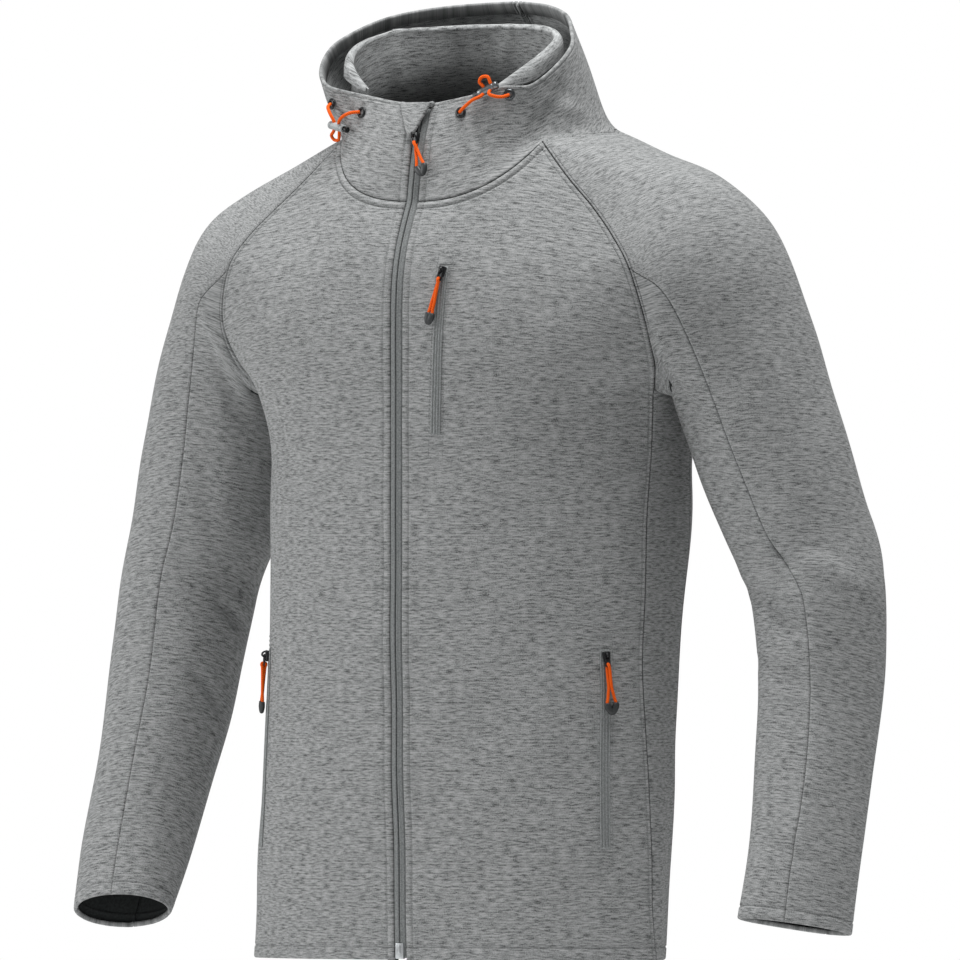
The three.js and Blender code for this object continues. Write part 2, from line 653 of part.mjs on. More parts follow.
// The cloth's panels
const front = frontGrid();
const back = backGrid();
const side = sideGrid(front, back);
const ring = armhole(front, back, side);
const neck = neckLine(front, back);
const branch = 2 + UPPER_ROWS - BRANCH_ROW;
const count = ring.length;
const upperIds = [];
for (let i = count - 1 - branch; i < count; i += 1) upperIds.push(i);
for (let i = 1; i <= branch; i += 1) upperIds.push(i);
const underIds = [];
for (let i = branch; i <= count - 1 - branch; i += 1) underIds.push(i);
const pick = (grid, ids) => grid.map((row) => ids.map((i) => row[i]));
const sleeves = { left: sleeveGrid(ring, 'left'), right: sleeveGrid(ring, 'right') };
const hood = { left: hoodGrid(neck, 'left'), right: hoodGrid(neck, 'right') };

const sewn = [];
const addSewn = (name, grid, flip) => sewn.push({ name, grid, flip });
addSewn('front_left', front, 1);
addSewn('front_right', mirrored(front), -1);
addSewn('side_left', side, 1);
addSewn('side_right', mirrored(side), -1);
addSewn('back', back, 1);
addSewn('sleeve_upper_left', pick(sleeves.left, upperIds), 1);
addSewn('sleeve_under_left', pick(sleeves.left, underIds), 1);
addSewn('sleeve_upper_right', mirrored(pick(sleeves.right, upperIds)), -1);
addSewn('sleeve_under_right', mirrored(pick(sleeves.right, underIds)), -1);
addSewn('hood_left', hood.left, 1);
addSewn('hood_right', mirrored(hood.right), -1);
const normals = new Map();
sewn.forEach(({ grid, flip }) => gatherNormals(normals, grid, flip));
sewn.forEach(({ name, grid }) => panel(name, grid, normals));

const inner = innerGrid();
const innerNormals = new Map();
gatherNormals(innerNormals, inner, 1);
panel('hood_inner', inner, innerNormals);

// The zip's edge from the hem to the chin, as heights and depths.
const zipEdge = [...front.map((row) => row[0]), ...hood.left.slice(1).map((row) => row[0])];

// The depth of the fronts' outer edge at a height.
function edgeDepth(z) {
  for (let i = 1; i < zipEdge.length; i += 1) {
    const [a, b] = [zipEdge[i - 1], zipEdge[i]];
    if (z <= b.z) return a.y + ((b.y - a.y) * (z - a.z)) / (b.z - a.z);
  }
  return zipEdge[zipEdge.length - 1].y;
}

// A strip behind or on the zip's edge line, between two sides, through a list of heights.
function edgeStrip(heights, leftOf, rightOf, depth, thick) {
  const layer = (deeper) => heights.map((z) => (
    [leftOf(z), rightOf(z)].map((x) => V(x, edgeDepth(z) + deeper, z))));
  return wallBetween(layer(depth), layer(depth + thick));
}

// The heights at which the zip bends, between a foot and a top.
function edgeHeights(foot, top) {
  return [foot, ...zipEdge.map((p) => p.z).filter((z) => z > foot + 1 && z < top - 1), top];
}

// Front zip: a tape on each side, the closed coil between them and the box at the hem
const hemZ = TORSO[0].z;
const boxTop = hemZ + ZIP_BOX.height + 1;
const boxSide = ZIP_BOX.width / 2 + PART_GAP;
const tapeHeights = [hemZ + 1, boxTop, boxTop + 0.5, ...edgeHeights(boxTop + 2, ZIP_TOP)];
const tapeInside = (z) => (z <= boxTop ? boxSide : TAPE_INNER);
const tapeOutside = FRONT_EDGE - PART_GAP / 4;
addPiece(
  'zip_tape_left',
  edgeStrip(tapeHeights, tapeInside, () => tapeOutside, ZIP_DEPTH, ZIP_TAPE_THICK), TAPE);
addPiece(
  'zip_tape_right',
  edgeStrip(tapeHeights, (z) => -tapeInside(z), () => -tapeOutside, ZIP_DEPTH, ZIP_TAPE_THICK), TAPE);
const coilHeights = edgeHeights(boxTop + 1, COIL_TOP);
addPiece(
  'zip_coil',
  edgeStrip(coilHeights, () => COIL_HALF, () => -COIL_HALF, COIL_DEPTH, COIL_THICK), TAPE);
const boxShape = new THREE.BoxGeometry(ZIP_BOX.width, ZIP_BOX.thick, ZIP_BOX.height);
const zipBox = addPiece('zip_box', boxShape, METAL);
zipBox.position.set(0, edgeDepth(hemZ) + 1, hemZ + ZIP_BOX.height / 2 + 0.2);

// Chin guard, bent slightly round the neck
const guardPoint = (u, t, deeper) => {
  const z = GUARD.foot + (GUARD.top - GUARD.foot) * t;
  const from = GUARD.footLeft + (GUARD.topLeft - GUARD.footLeft) * t;
  const to = GUARD.footRight + (GUARD.topRight - GUARD.footRight) * t;
  const x = from + (to - from) * u;
  const lift = GUARD.out + (GUARD.lie - GUARD.out) * u * t;
  return V(x, edgeDepth(Math.min(z, RIM.left[0].z)) - lift + (x * x) / GUARD.bend + deeper, z);
};
const guardLayer = (deeper) => (
  run(GUARD_ROWS, (r) => run(GUARD_COLUMNS, (c) => guardPoint(c / GUARD_COLUMNS, r / GUARD_ROWS, deeper))));
addPiece('chin_guard', wallBetween(guardLayer(0), guardLayer(WALL)), CLOTH);

// The cloth's outer face at a place seen from the front: the point and the normal of the triangle there.
function clothAt(grid, x, z) {
  for (let r = 0; r < grid.length - 1; r += 1) {
    for (let c = 0; c < grid[0].length - 1; c += 1) {
      const corners = [grid[r][c], grid[r][c + 1], grid[r + 1][c + 1], grid[r + 1][c]];
      for (const [a, b, d] of [[corners[0], corners[1], corners[2]], [corners[0], corners[2], corners[3]]]) {
        const area = (b.x - a.x) * (d.z - a.z) - (d.x - a.x) * (b.z - a.z);
        const s = ((x - a.x) * (d.z - a.z) - (d.x - a.x) * (z - a.z)) / area;
        const t = ((b.x - a.x) * (z - a.z) - (x - a.x) * (b.z - a.z)) / area;
        if (s >= 0 && t >= 0 && s + t <= 1) {
          const point = a.clone().addScaledVector(b.clone().sub(a), s).addScaledVector(d.clone().sub(a), t);
          const normal = V().crossVectors(b.clone().sub(a), d.clone().sub(a)).normalize();
          if (normal.y > 0) normal.negate();
          return { point, normal };
        }
      }
    }
  }
  throw new Error(`no cloth at ${x}, ${z}`);
}

// A strip of zip that lies on a front, from its top to its foot.
function pocketStrip(name, grid, zip, flip) {
  const layer = (out) => run(POCKET_STRIP.steps, (r) => {
    const t = r / POCKET_STRIP.steps;
    const x = (zip.topX + (zip.footX - zip.topX) * t) * flip;
    const z = zip.topZ + (zip.footZ - zip.topZ) * t;
    const half = POCKET_STRIP.half * Math.abs(clothAt(grid, x, z).normal.y);
    return [-half, 0, half].map((across) => {
      const { point, normal } = clothAt(grid, x + across, z);
      return point.addScaledVector(normal, out);
    });
  });
  const { clear, thick } = POCKET_STRIP;
  addPiece(name, wallBetween(layer(clear + thick), layer(clear)), TAPE);
}

// The place of a pull: its pivot, the way it hangs and the way that faces out from the cloth.
function pullPlace(from, to) {
  const pivot = from.point.clone().addScaledVector(from.normal, PULL_OUT);
  const end = to.point.clone().addScaledVector(to.normal, PULL_OUT);
  const hang = end.sub(pivot);
  const length = hang.length();
  hang.normalize();
  const out = from.normal.clone().addScaledVector(hang, -from.normal.dot(hang)).normalize();
  const across = V().crossVectors(hang, out);
  const turn = new THREE.Matrix4().makeBasis(across, hang, out);
  return { pivot, hang, out, across, length, turn };
}

// Sets a mesh into a pull's own frame: x across, y down the pull and z out of the cloth.
function seat(mesh, place, down, out) {
  mesh.quaternion.setFromRotationMatrix(place.turn);
  mesh.position.copy(place.pivot).addScaledVector(place.hang, down).addScaledVector(place.out, out);
}

// A flat outline made solid about the middle of its thickness.
function plate(shape, thick) {
  const geometry = new THREE.ExtrudeGeometry(shape, { depth: thick, bevelEnabled: false, curveSegments: 6 });
  return geometry.translate(0, 0, -thick / 2);
}

// A pull tab with an eye at its foot.
function tabShape() {
  const half = TAB.width / 2;
  const shape = new THREE.Shape();
  shape.moveTo(-half, -TAB.head);
  shape.lineTo(half, -TAB.head);
  shape.lineTo(half, TAB.height - half);
  shape.absarc(0, TAB.height - half, half, 0, Math.PI, false);
  shape.closePath();
  const eye = new THREE.Path();
  eye.absarc(0, TAB.height - half, TAB.eye, 0, Math.PI * 2, true);
  shape.holes.push(eye);
  return shape;
}

// A moulded tip, tapered to its foot.
function tipShape() {
  const shape = new THREE.Shape();
  shape.moveTo(-TIP.width / 2, 0);
  shape.lineTo(TIP.width / 2, 0);
  shape.lineTo(TIP.foot / 2, TIP.height * 0.8);
  shape.lineTo(0, TIP.height);
  shape.lineTo(-TIP.foot / 2, TIP.height * 0.8);
  shape.closePath();
  return shape;
}

// A round section for cords.
function roundShape(radius, sides) {
  const points = Array.from({ length: sides }, (_, i) => {
    const a = (i / sides) * Math.PI * 2;
    return new THREE.Vector2(radius * Math.cos(a), radius * Math.sin(a));
  });
  return new THREE.Shape(points);
}

// The cord loop of a pull, from the tip up one side, round below the tab and down again.
function pullLoop(foot) {
  const half = PULL_CORD.apart / 2;
  const turn = TAB.height + PART_GAP + PULL_CORD.radius + half;
  const points = [V(-half, foot, 0), V(-half, (foot + turn) / 2, 0.5)];
  for (let i = 0; i <= 4; i += 1) {
    const a = (i / 4) * Math.PI;
    points.push(V(-half * Math.cos(a), turn - half * Math.sin(a), 0));
  }
  points.push(V(half, (foot + turn) / 2, 0.5), V(half, foot, 0));
  const path = new THREE.CatmullRomCurve3(points);
  const section = roundShape(PULL_CORD.radius, PULL_CORD.sides);
  return new THREE.ExtrudeGeometry(section, { steps: PULL_CORD.steps, extrudePath: path });
}

// A slider and the pull that hangs from it.
function zipPull(name, from, to, sliderRise) {
  const place = pullPlace(from, to);
  const sliderShape = new THREE.BoxGeometry(SLIDER.width, SLIDER.height, SLIDER.thick);
  const slider = addPiece(`${name}_slider`, sliderShape, BLACK);
  seat(slider, place, 1, sliderRise + SLIDER.thick / 2 - PULL_OUT);
  seat(addPiece(`${name}_tab`, plate(tabShape(), TAB.thick), BLACK), place, 0, 0);
  const tipAt = place.length - TIP.height;
  seat(addPiece(`${name}_loop`, pullLoop(tipAt - PART_GAP), ORANGE), place, 0, 0);
  seat(addPiece(`${name}_tip`, plate(tipShape(), TIP.thick), BLACK), place, tipAt, 0);
}

const frontRight = mirrored(front);
pocketStrip('chest_zip', front, CHEST_ZIP, 1);
pocketStrip('hand_zip_left', front, HAND_ZIP, 1);
pocketStrip('hand_zip_right', frontRight, HAND_ZIP, -1);

// A pocket's pull, on a front of one side.
function pocketPull(name, grid, pull, flip) {
  const from = clothAt(grid, pull.fromX * flip, pull.fromZ);
  const to = clothAt(grid, pull.toX * flip, pull.toZ);
  zipPull(name, from, to, SLIDER.rise);
}

pocketPull('chest', front, CHEST_PULL, 1);
pocketPull('hand_left', front, HAND_PULL, 1);
pocketPull('hand_right', frontRight, HAND_PULL, -1);
const frontPullTop = {
  point: V(FRONT_PULL.fromX, edgeDepth(FRONT_PULL.fromZ), FRONT_PULL.fromZ),
  normal: V(...FRONT_PULL.facing).normalize(),
};
zipPull('front', frontPullTop, clothAt(hood.left, FRONT_PULL.toX, FRONT_PULL.toZ), FRONT_PULL.rise);

// Drawcord eyelets
Object.entries(EYELETS).forEach(([name, { at, facing }]) => {
  const { outer, inner: hole, thick, clear } = EYELET;
  const profile = [[hole, 0], [outer, 0], [outer, thick * 0.6], [hole + 0.5, thick], [hole, 0]];
  const ringShape = new THREE.LatheGeometry(profile.map(([r, h]) => new THREE.Vector2(r, h)), 12);
  const mesh = addPiece(`eyelet_${name}`, ringShape, BLACK);
  const way = V(...facing).normalize();
  mesh.quaternion.setFromUnitVectors(V(0, 1, 0), way);
  mesh.position.set(...at).addScaledVector(way, clear);
});

// Cord locks: a barrel and the plunger at its end
Object.entries(LOCKS).forEach(([name, { at, along }]) => {
  const way = V(...along).normalize();
  const turn = new THREE.Quaternion().setFromUnitVectors(V(0, 1, 0), way);
  const barrelShape = new THREE.CylinderGeometry(LOCK.radius, LOCK.radius, LOCK.length, LOCK.sides);
  const barrel = addPiece(`lock_${name}`, barrelShape, METAL);
  barrel.quaternion.copy(turn);
  barrel.position.set(...at);
  const { plungerRadius, plungerLength, sides } = LOCK;
  const plungerShape = new THREE.CylinderGeometry(plungerRadius, plungerRadius, plungerLength, sides - 2);
  const plunger = addPiece(`plunger_${name}`, plungerShape, BLACK);
  plunger.quaternion.copy(turn);
  plunger.position.set(...at).addScaledVector(way, (LOCK.length + LOCK.plungerLength) / 2 + PART_GAP);
});

// Drawcords
Object.entries(DRAWCORDS).forEach(([name, points]) => {
  const path = new THREE.CatmullRomCurve3(points.map((p) => V(...p)));
  const steps = Math.max(3, Math.round(path.getLength() / DRAWCORD.step));
  const section = roundShape(DRAWCORD.radius, DRAWCORD.sides);
  const tube = new THREE.ExtrudeGeometry(section, { steps, extrudePath: path });
  addPiece(`drawcord_${name}`, tube, ORANGE);
});

export default jacket;
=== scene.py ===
import math

import bmesh
import bpy
import numpy as np
from mathutils import Matrix, Vector
from mathutils.bvhtree import BVHTree


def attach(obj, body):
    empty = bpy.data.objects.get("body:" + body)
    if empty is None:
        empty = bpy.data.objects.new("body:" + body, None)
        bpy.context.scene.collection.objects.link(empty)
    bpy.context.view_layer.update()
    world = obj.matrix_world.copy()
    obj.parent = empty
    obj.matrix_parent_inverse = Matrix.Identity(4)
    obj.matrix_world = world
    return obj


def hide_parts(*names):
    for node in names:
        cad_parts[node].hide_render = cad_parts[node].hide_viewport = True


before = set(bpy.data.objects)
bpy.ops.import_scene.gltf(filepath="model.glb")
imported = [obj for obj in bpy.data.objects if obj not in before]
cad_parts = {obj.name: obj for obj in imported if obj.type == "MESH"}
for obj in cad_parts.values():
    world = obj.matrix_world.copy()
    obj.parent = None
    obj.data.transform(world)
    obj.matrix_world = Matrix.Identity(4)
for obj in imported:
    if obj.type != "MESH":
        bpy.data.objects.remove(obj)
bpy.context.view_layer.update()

# A hooded softshell jacket of heather knit, as worn. Sizes are in millimetres: +X is the wearer's left,
# -Y the front and +Z up, with the origin at the base of the neck.
MM = 0.001
RAD = math.pi / 180

# Camera
CAMERA_TARGET = (-3.4, -2.2, -283.5)
CAMERA_AWAY = 30000
CAMERA_AZIMUTH = 33
CAMERA_WIDTH = 864


def camera():
    """The photograph's view, nearly orthographic and level."""
    data = bpy.data.cameras.new("camera")
    data.sensor_width = 36
    data.lens = data.sensor_width * CAMERA_AWAY / CAMERA_WIDTH
    data.clip_start = 1
    data.clip_end = 100
    eye = bpy.data.objects.new("camera", data)
    bpy.context.scene.collection.objects.link(eye)
    turn = CAMERA_AZIMUTH * RAD
    back = Vector((math.sin(turn), -math.cos(turn), 0))
    eye.location = (Vector(CAMERA_TARGET) + back * CAMERA_AWAY) * MM
    eye.rotation_euler = (math.pi / 2, 0, turn)
    bpy.context.scene.camera = eye


camera()


def table(columns, *rows):
    """Rows of a short table, each with named columns."""
    names = columns.split()
    return [dict(zip(names, row)) for row in rows]


# The cloth's shape: the same named sizes and tables as the solids'
WALL = 1.6
FRONT_EDGE = 7.5
FRONT_COLUMNS = 7
SIDE_COLUMNS = 4
BODY_ROWS = 10
UPPER_ROWS = 7
BRANCH_ROW = 3
HOOD_ROWS = 6
LOFT_ROWS = 6
ARM_ROWS = 12
FINE = 8

# Torso sections from hem to armpit: half width, front and back depth, and the angles of the side seams,
# counted from the front
TORSO = table(
    "z half front back front_seam back_seam",
    (-713, 213, -140, 64, 87, 118),
    (-660, 211, -141, 70, 84, 116),
    (-570, 209, -144, 87, 82, 113),
    (-480, 204, -146, 103, 79, 110),
    (-390, 205, -147, 123, 77, 107),
    (-300, 207, -147, 138, 76, 105),
    (-240, 208, -147, 140, 77, 105),
    (-203, 218, -147, 140, 74, 108),
)
FRONT_RAGLAN = table(
    "edge_y edge_z x y z turn",
    (-147, -203, 209.6, -43.4, -203, 76),
    (-147.5, -179, 222, -64, -178, 58),
    (-147.5, -154, 226, -86, -140, 36),
    (-146.5, -127, 215, -94, -94, 26),
    (-144, -101, 196, -91, -66, 26),
    (-139, -77, 170, -84, -39, 32),
    (-131, -55, 140, -79, -12, 44),
    (-121, -33, 107, -71, 21, 68),
)
BACK_RAGLAN = table(
    "edge_y edge_z x y z turn",
    (140, -203, 207.3, 40.2, -203, 76),
    (139.5, -168, 219, 60, -177, 56),
    (138, -134, 222, 80, -138, 38),
    (133, -100, 212, 91, -93, 28),
    (126, -66, 194, 91, -62, 28),
    (115, -33, 170, 85, -33, 34),
    (101, 0, 142, 73, -2, 46),
    (86, 35, 109, 55, 30, 62),
)
SIDE_TURN = {"front": 0.16, "back": 0.2}
NECK_SIDE = [(121, -38, 26), (127, -5, 28), (121, 28, 29)]
NECK_ANGLES = [0, 12]
RAGLAN_ANGLES = [156, 136, 114, 88, 71, 57, 43, 26]
UNDER_ANGLES = [156, 168, 180, 192, 204]
SHOULDER = {
    "left": {"x": 252, "y": -2, "z": -126, "up_x": 26, "up_z": 91, "deep": 85, "flow": 0.167},
    "right": {"x": 250, "y": -2, "z": -127, "up_x": 25, "up_z": 83, "deep": 85, "flow": 0.08},
}

# Arm sections from the upper arm to the cuff: place, half sizes and the turn of the section
ARM = table(
    "left_x right_x y z left_wide right_wide deep turn",
    (277, 285, 17, -212, 69, 70, 72, 0),
    (307, 311, 26, -300, 67.5, 70.5, 67, 0),
    (328, 332, 29, -355, 62, 64, 62, 0),
    (342, 340, 25, -400, 60, 62.5, 60, 2),
    (346, 350.5, 18, -480, 55.5, 60, 56, 5),
    (352, 358, -7, -570, 52.5, 54.5, 49, 9),
    (356, 363, -28, -636, 51.5, 54, 42, 13),
    (357, 364, -41, -676, 52.5, 54.5, 36, 15),
)
# The angles from the arm's outer side at which its seams lie, on the same sections
ARM_SEAMS = table(
    "left right back",
    (86, 90, 66),
    (86, 94, 62),
    (84, 97, 58),
    (74, 100, 57),
    (72, 104, 58),
    (76, 108, 62),
    (86, 111, 66),
    (90, 112, 68),
)
ARM_STEP = 0.25
ARMHOLE_HANDLE = 0.36
CUFF_SLANT = {"left": -0.18, "right": 0.11}
CUFF_DROP = {"left": 6, "right": -3.5}
CUFF_SLANT_FROM = (0.545, -0.839)

# The hood's rim from the chin round one side to the centre back: it stands askew as worn
RIM = {
    "left": table(
        "x y z",
        (8, -98, 54),
        (48, -95, 62),
        (78, -89, 69),
        (98, -75, 70),
        (108, -48, 88),
        (99, -8, 107),
        (83, 18, 121),
        (64, 40, 136),
        (34, 52, 145),
        (-4, 57, 148),
    ),
    "right": table(
        "x y z",
        (8, -98, 54),
        (32, -95, 56),
        (64, -87, 61),
        (96, -80, 66),
        (124, -74, 72),
        (140, -60, 86),
        (139, -41, 108),
        (120, -14, 126),
        (94, 10, 137),
        (48, 44, 146),
        (4, 57, 148),
    ),
}
BULGE = table(
    "angle left right z",
    (0, 112, 112, 10),
    (40, 117, 121, 24),
    (70, 120, 138, 42),
    (105, 107, 141, 58),
    (140, 102, 129, 66),
    (180, 118, 118, 68),
)
INNER_RING = table(
    "x y z",
    (66, -84, 66),
    (80, -66, 82),
    (84, -36, 98),
    (76, 0, 113),
    (50, 22, 121),
    (16, 30, 124),
    (-24, 24, 124),
    (-60, 8, 122),
    (-86, -14, 120),
    (-108, -40, 106),
    (-102, -60, 88),
    (-76, -76, 68),
)
INNER_COLUMNS = 22
INNER_RISE = [(0, 0), (0.5, 0.12), (0.84, 0.44), (0.97, 0.92)]
INNER_LIP = {"out": 7, "drop": 16, "least": 0.15, "columns": 3}
INNER_LIP_STEPS = [(0, 0), (0.45, -0.08), (0.9, 0.25), (1, 1)]
INNER_FOOT_ROW = 2
INNER_CLEAR = 1.3


def vec(x, y, z):
    return np.array((x, y, z), dtype=float)


def unit(v):
    return v / np.linalg.norm(v)


def smooth_row(rows, column, place):
    """A smooth value of one column at any place between a table's rows, by row number."""
    last = len(rows) - 1
    i = min(max(math.floor(place), 0), last - 1)
    f = place - i
    a, b, c, d = (rows[min(max(k, 0), last)][column] for k in (i - 1, i, i + 1, i + 2))
    cubic = (2 * a - 5 * b + 4 * c - d) * f * f + (3 * b - a - 3 * c + d) * f**3
    return 0.5 * (2 * b + (c - a) * f + cubic)


def smooth_point(rows, place):
    return vec(*(smooth_row(rows, column, place) for column in "xyz"))


def row_of(rows, key, value):
    """The row number at which a table's key column has a value."""
    for i in range(len(rows) - 1):
        a, b = rows[i][key], rows[i + 1][key]
        if (value - a) * (value - b) <= 0:
            return i + (value - a) / (b - a)
    near_first = abs(value - rows[0][key]) < abs(value - rows[-1][key])
    return 0 if near_first else len(rows) - 1


def arc(start, leave, end, arrive, t):
    """A point on a cubic arc that leaves the start along one handle and arrives along the other."""
    u = 1 - t
    return start * u**3 + (start + leave) * 3 * u * u * t + (end - arrive) * 3 * u * t * t + end * t**3


def torso_point(z, angle):
    """A point of the torso's section at a height and an angle from the front."""
    row = row_of(TORSO, "z", z)
    front = smooth_row(TORSO, "front", row)
    back = smooth_row(TORSO, "back", row)
    across = smooth_row(TORSO, "half", row) * math.sin(angle * RAD)
    return vec(across, (front + back) / 2 - (back - front) / 2 * math.cos(angle * RAD), z)


def body_heights():
    """Heights of the body's rows from the hem to just under the armpit."""
    hem, armpit = TORSO[0]["z"], TORSO[-1]["z"]
    return [hem + (armpit - hem) * i / BODY_ROWS for i in range(BODY_ROWS)]


def raglan_row(row, edge_x, facing):
    """One row of a front or back above the armpit, from its centre edge to the raglan seam."""
    start = vec(edge_x, row["edge_y"], row["edge_z"])
    end = vec(row["x"], row["y"], row["z"])
    reach = np.linalg.norm(end - start)
    leave = vec(reach * 0.42, 0, 0)
    turn = row["turn"] * RAD
    arrive = vec(math.cos(turn) * reach * 0.3, -facing * math.sin(turn) * reach * 0.3, 0)
    arrive[2] = (row["z"] - row["edge_z"]) * 0.62
    return [arc(start, leave, end, arrive, i / FRONT_COLUMNS) for i in range(FRONT_COLUMNS + 1)]


def torso_row(z, start, end):
    """One row of the body below the armpit, between two angles."""
    return [torso_point(z, start + (end - start) * i / FRONT_COLUMNS) for i in range(FRONT_COLUMNS + 1)]


def front_grid():
    """The left front: rows from hem to neck, each from the zip edge to the side or raglan seam."""
    rows = []
    for z in body_heights():
        row = row_of(TORSO, "z", z)
        start = math.asin(FRONT_EDGE / smooth_row(TORSO, "half", row)) / RAD
        rows.append(torso_row(z, start, smooth_row(TORSO, "front_seam", row)))
    rows += [raglan_row(row, FRONT_EDGE, -1) for row in FRONT_RAGLAN]
    return np.array(rows)


def back_grid():
    """The whole back: rows from hem to neck, each from the left seam to the right seam."""
    rows = [torso_row(z, 180, smooth_row(TORSO, "back_seam", row_of(TORSO, "z", z))) for z in body_heights()]
    rows += [raglan_row(row, 0, 1) for row in BACK_RAGLAN]
    half = np.array(rows)
    return np.concatenate([half[:, ::-1], mirrored(half)[:, 1:]], axis=1)


def side_grid(front, back):
    """The left side panel, from the front side seam to the back side seam, up to the armpit."""
    rows = []
    for k in range(BODY_ROWS + 1):
        start, end = front[k, FRONT_COLUMNS], back[k, 0]
        reach = np.linalg.norm(end - start) / 3
        leave = unit(vec(SIDE_TURN["front"], 1, 0)) * reach
        arrive = unit(vec(-SIDE_TURN["back"], 1, 0)) * reach
        rows.append([arc(start, leave, end, arrive, i / SIDE_COLUMNS) for i in range(SIDE_COLUMNS + 1)])
    return np.array(rows)


def armhole(front, back, side):
    """The armhole's points with the arm angle of each, from the top round the front and under the arm."""
    ring = [(vec(*NECK_SIDE[1]), NECK_ANGLES[0]), (vec(*NECK_SIDE[0]), NECK_ANGLES[1])]
    for k in range(UPPER_ROWS, -1, -1):
        ring.append((front[BODY_ROWS + k, FRONT_COLUMNS], RAGLAN_ANGLES[k]))
    for i in range(1, SIDE_COLUMNS):
        ring.append((side[BODY_ROWS, i], UNDER_ANGLES[i]))
    for k in range(UPPER_ROWS + 1):
        ring.append((back[BODY_ROWS + k, 0], 360 - RAGLAN_ANGLES[k]))
    ring.append((vec(*NECK_SIDE[2]), 360 - NECK_ANGLES[1]))
    ring.append((vec(*NECK_SIDE[1]), 360))
    return ring


def moved_angle(angle, front_seam, back_seam):
    """The arm angle on a lower section, with the seams moved to where they lie there."""
    base = RAGLAN_ANGLES[BRANCH_ROW]
    if angle <= base:
        return angle / base * front_seam
    if angle >= 360 - base:
        return 360 - (360 - angle) / base * back_seam
    share = (angle - base) / (360 - 2 * base)
    return front_seam + share * (360 - back_seam - front_seam)


def arm_centre(place, side):
    """The middle of the arm's section at a place down the arm table."""
    return vec(*(smooth_row(ARM, column, place) for column in (f"{side}_x", "y", "z")))


def arm_point(place, angle, side):
    """A point on the arm's section at a place down the arm table."""
    centre = arm_centre(place, side)
    ahead = min(place + ARM_STEP, len(ARM) - 1)
    behind = max(place - ARM_STEP, 0)
    along = unit(arm_centre(ahead, side) - arm_centre(behind, side))
    out = unit(vec(1, 0, 0) - along * along[0])
    forward = unit(np.cross(along, out))
    turn = smooth_row(ARM, "turn", place) * RAD
    wide_way = out * math.cos(turn) - forward * math.sin(turn)
    deep_way = forward * math.cos(turn) + out * math.sin(turn)
    seam = smooth_row(ARM_SEAMS, side, place)
    a = moved_angle(angle, seam, smooth_row(ARM_SEAMS, "back", place)) * RAD
    arm = centre + wide_way * smooth_row(ARM, f"{side}_wide", place) * math.cos(a)
    arm = arm + deep_way * smooth_row(ARM, "deep", place) * math.sin(a)
    low = max(0, place - (len(ARM) - 2))
    facing = 1 if side == "left" else -1
    lean = (arm[0] - centre[0]) * CUFF_SLANT_FROM[0] * facing + (arm[1] - centre[1]) * CUFF_SLANT_FROM[1]
    arm[2] += (CUFF_SLANT[side] * lean - CUFF_DROP[side]) * low
    return arm


def shoulder_point(angle, side):
    """A point on the shoulder's fullest ring."""
    a = angle * RAD
    size = SHOULDER[side]
    return vec(
        size["x"] + size["up_x"] * math.cos(a),
        size["y"] - size["deep"] * math.sin(a),
        size["z"] + size["up_z"] * math.cos(a),
    )


def loft_point(point, angle, side, t):
    """A point of the sleeve between the armhole and the upper arm."""
    mid = shoulder_point(angle, side)
    first = arm_point(0, angle, side)
    mid_way = (first - point) * SHOULDER[side]["flow"]
    if t <= 0.5:
        return arc(point, (mid - point) * ARMHOLE_HANDLE, mid, mid_way, t / 0.5)
    along = unit(arm_point(ARM_STEP, angle, side) - first)
    return arc(mid, mid_way, first, along * np.linalg.norm(first - mid) / 3, (t - 0.5) / 0.5)


def sleeve_grid(ring, side):
    """One sleeve's rows from the armhole to the cuff."""
    rows = []
    for r in range(LOFT_ROWS + 1):
        rows.append([loft_point(point, angle, side, r / LOFT_ROWS) for point, angle in ring])
    for r in range(1, ARM_ROWS + 1):
        place = (len(ARM) - 1) * r / ARM_ROWS
        rows.append([arm_point(place, angle, side) for _, angle in ring])
    return np.array(rows)


def polar_angle(p):
    """The angle of a point round the neck, from the front, in degrees."""
    return math.atan2(p[0], -p[1]) / RAD


def hood_grid(neck, side):
    """One half of the hood's outside, from the neck seam up to the rim."""
    last = len(neck) - 1
    rim = RIM[side]
    columns = []
    for i, low in enumerate(neck):
        top = smooth_point(rim, (len(rim) - 1) * i / last)
        if i == last:
            top[0] = 0
        angle = (polar_angle(low) + polar_angle(top)) / 2
        b = row_of(BULGE, "angle", angle)
        radius = smooth_row(BULGE, side, b)
        sideways = math.sin(angle * RAD)
        full = vec(radius * sideways, -radius * math.cos(angle * RAD), smooth_row(BULGE, "z", b))
        if i == 0:
            full[0] = FRONT_EDGE
        if i == last:
            full[0] = 0
        guide = full * 2 - low * 0.5 - top * 0.5
        shares = [r / HOOD_ROWS for r in range(HOOD_ROWS + 1)]
        columns.append([low * (1 - t) ** 2 + guide * 2 * (1 - t) * t + top * t * t for t in shares])
    return np.array(columns).swapaxes(0, 1)


def hood_inside(toward, hood):
    """The point inside the hood's wall, low down, that lies in the direction of another point."""
    facing = 1 if toward[0] > 0 else -1
    row = hood["left" if facing > 0 else "right"][INNER_FOOT_ROW]
    wanted = polar_angle((abs(toward[0]), toward[1], 0))
    i = max(1, next(k for k, p in enumerate(row) if polar_angle(p) >= wanted))
    a, b = row[i - 1], row[i]
    share = (wanted - polar_angle(a)) / (polar_angle(b) - polar_angle(a))
    wall = a + (b - a) * min(max(share, 0), 1)
    flat = math.hypot(wall[0], wall[1])
    inward = (flat - WALL - INNER_CLEAR) / flat
    return vec(wall[0] * inward * facing, wall[1] * inward, wall[2])


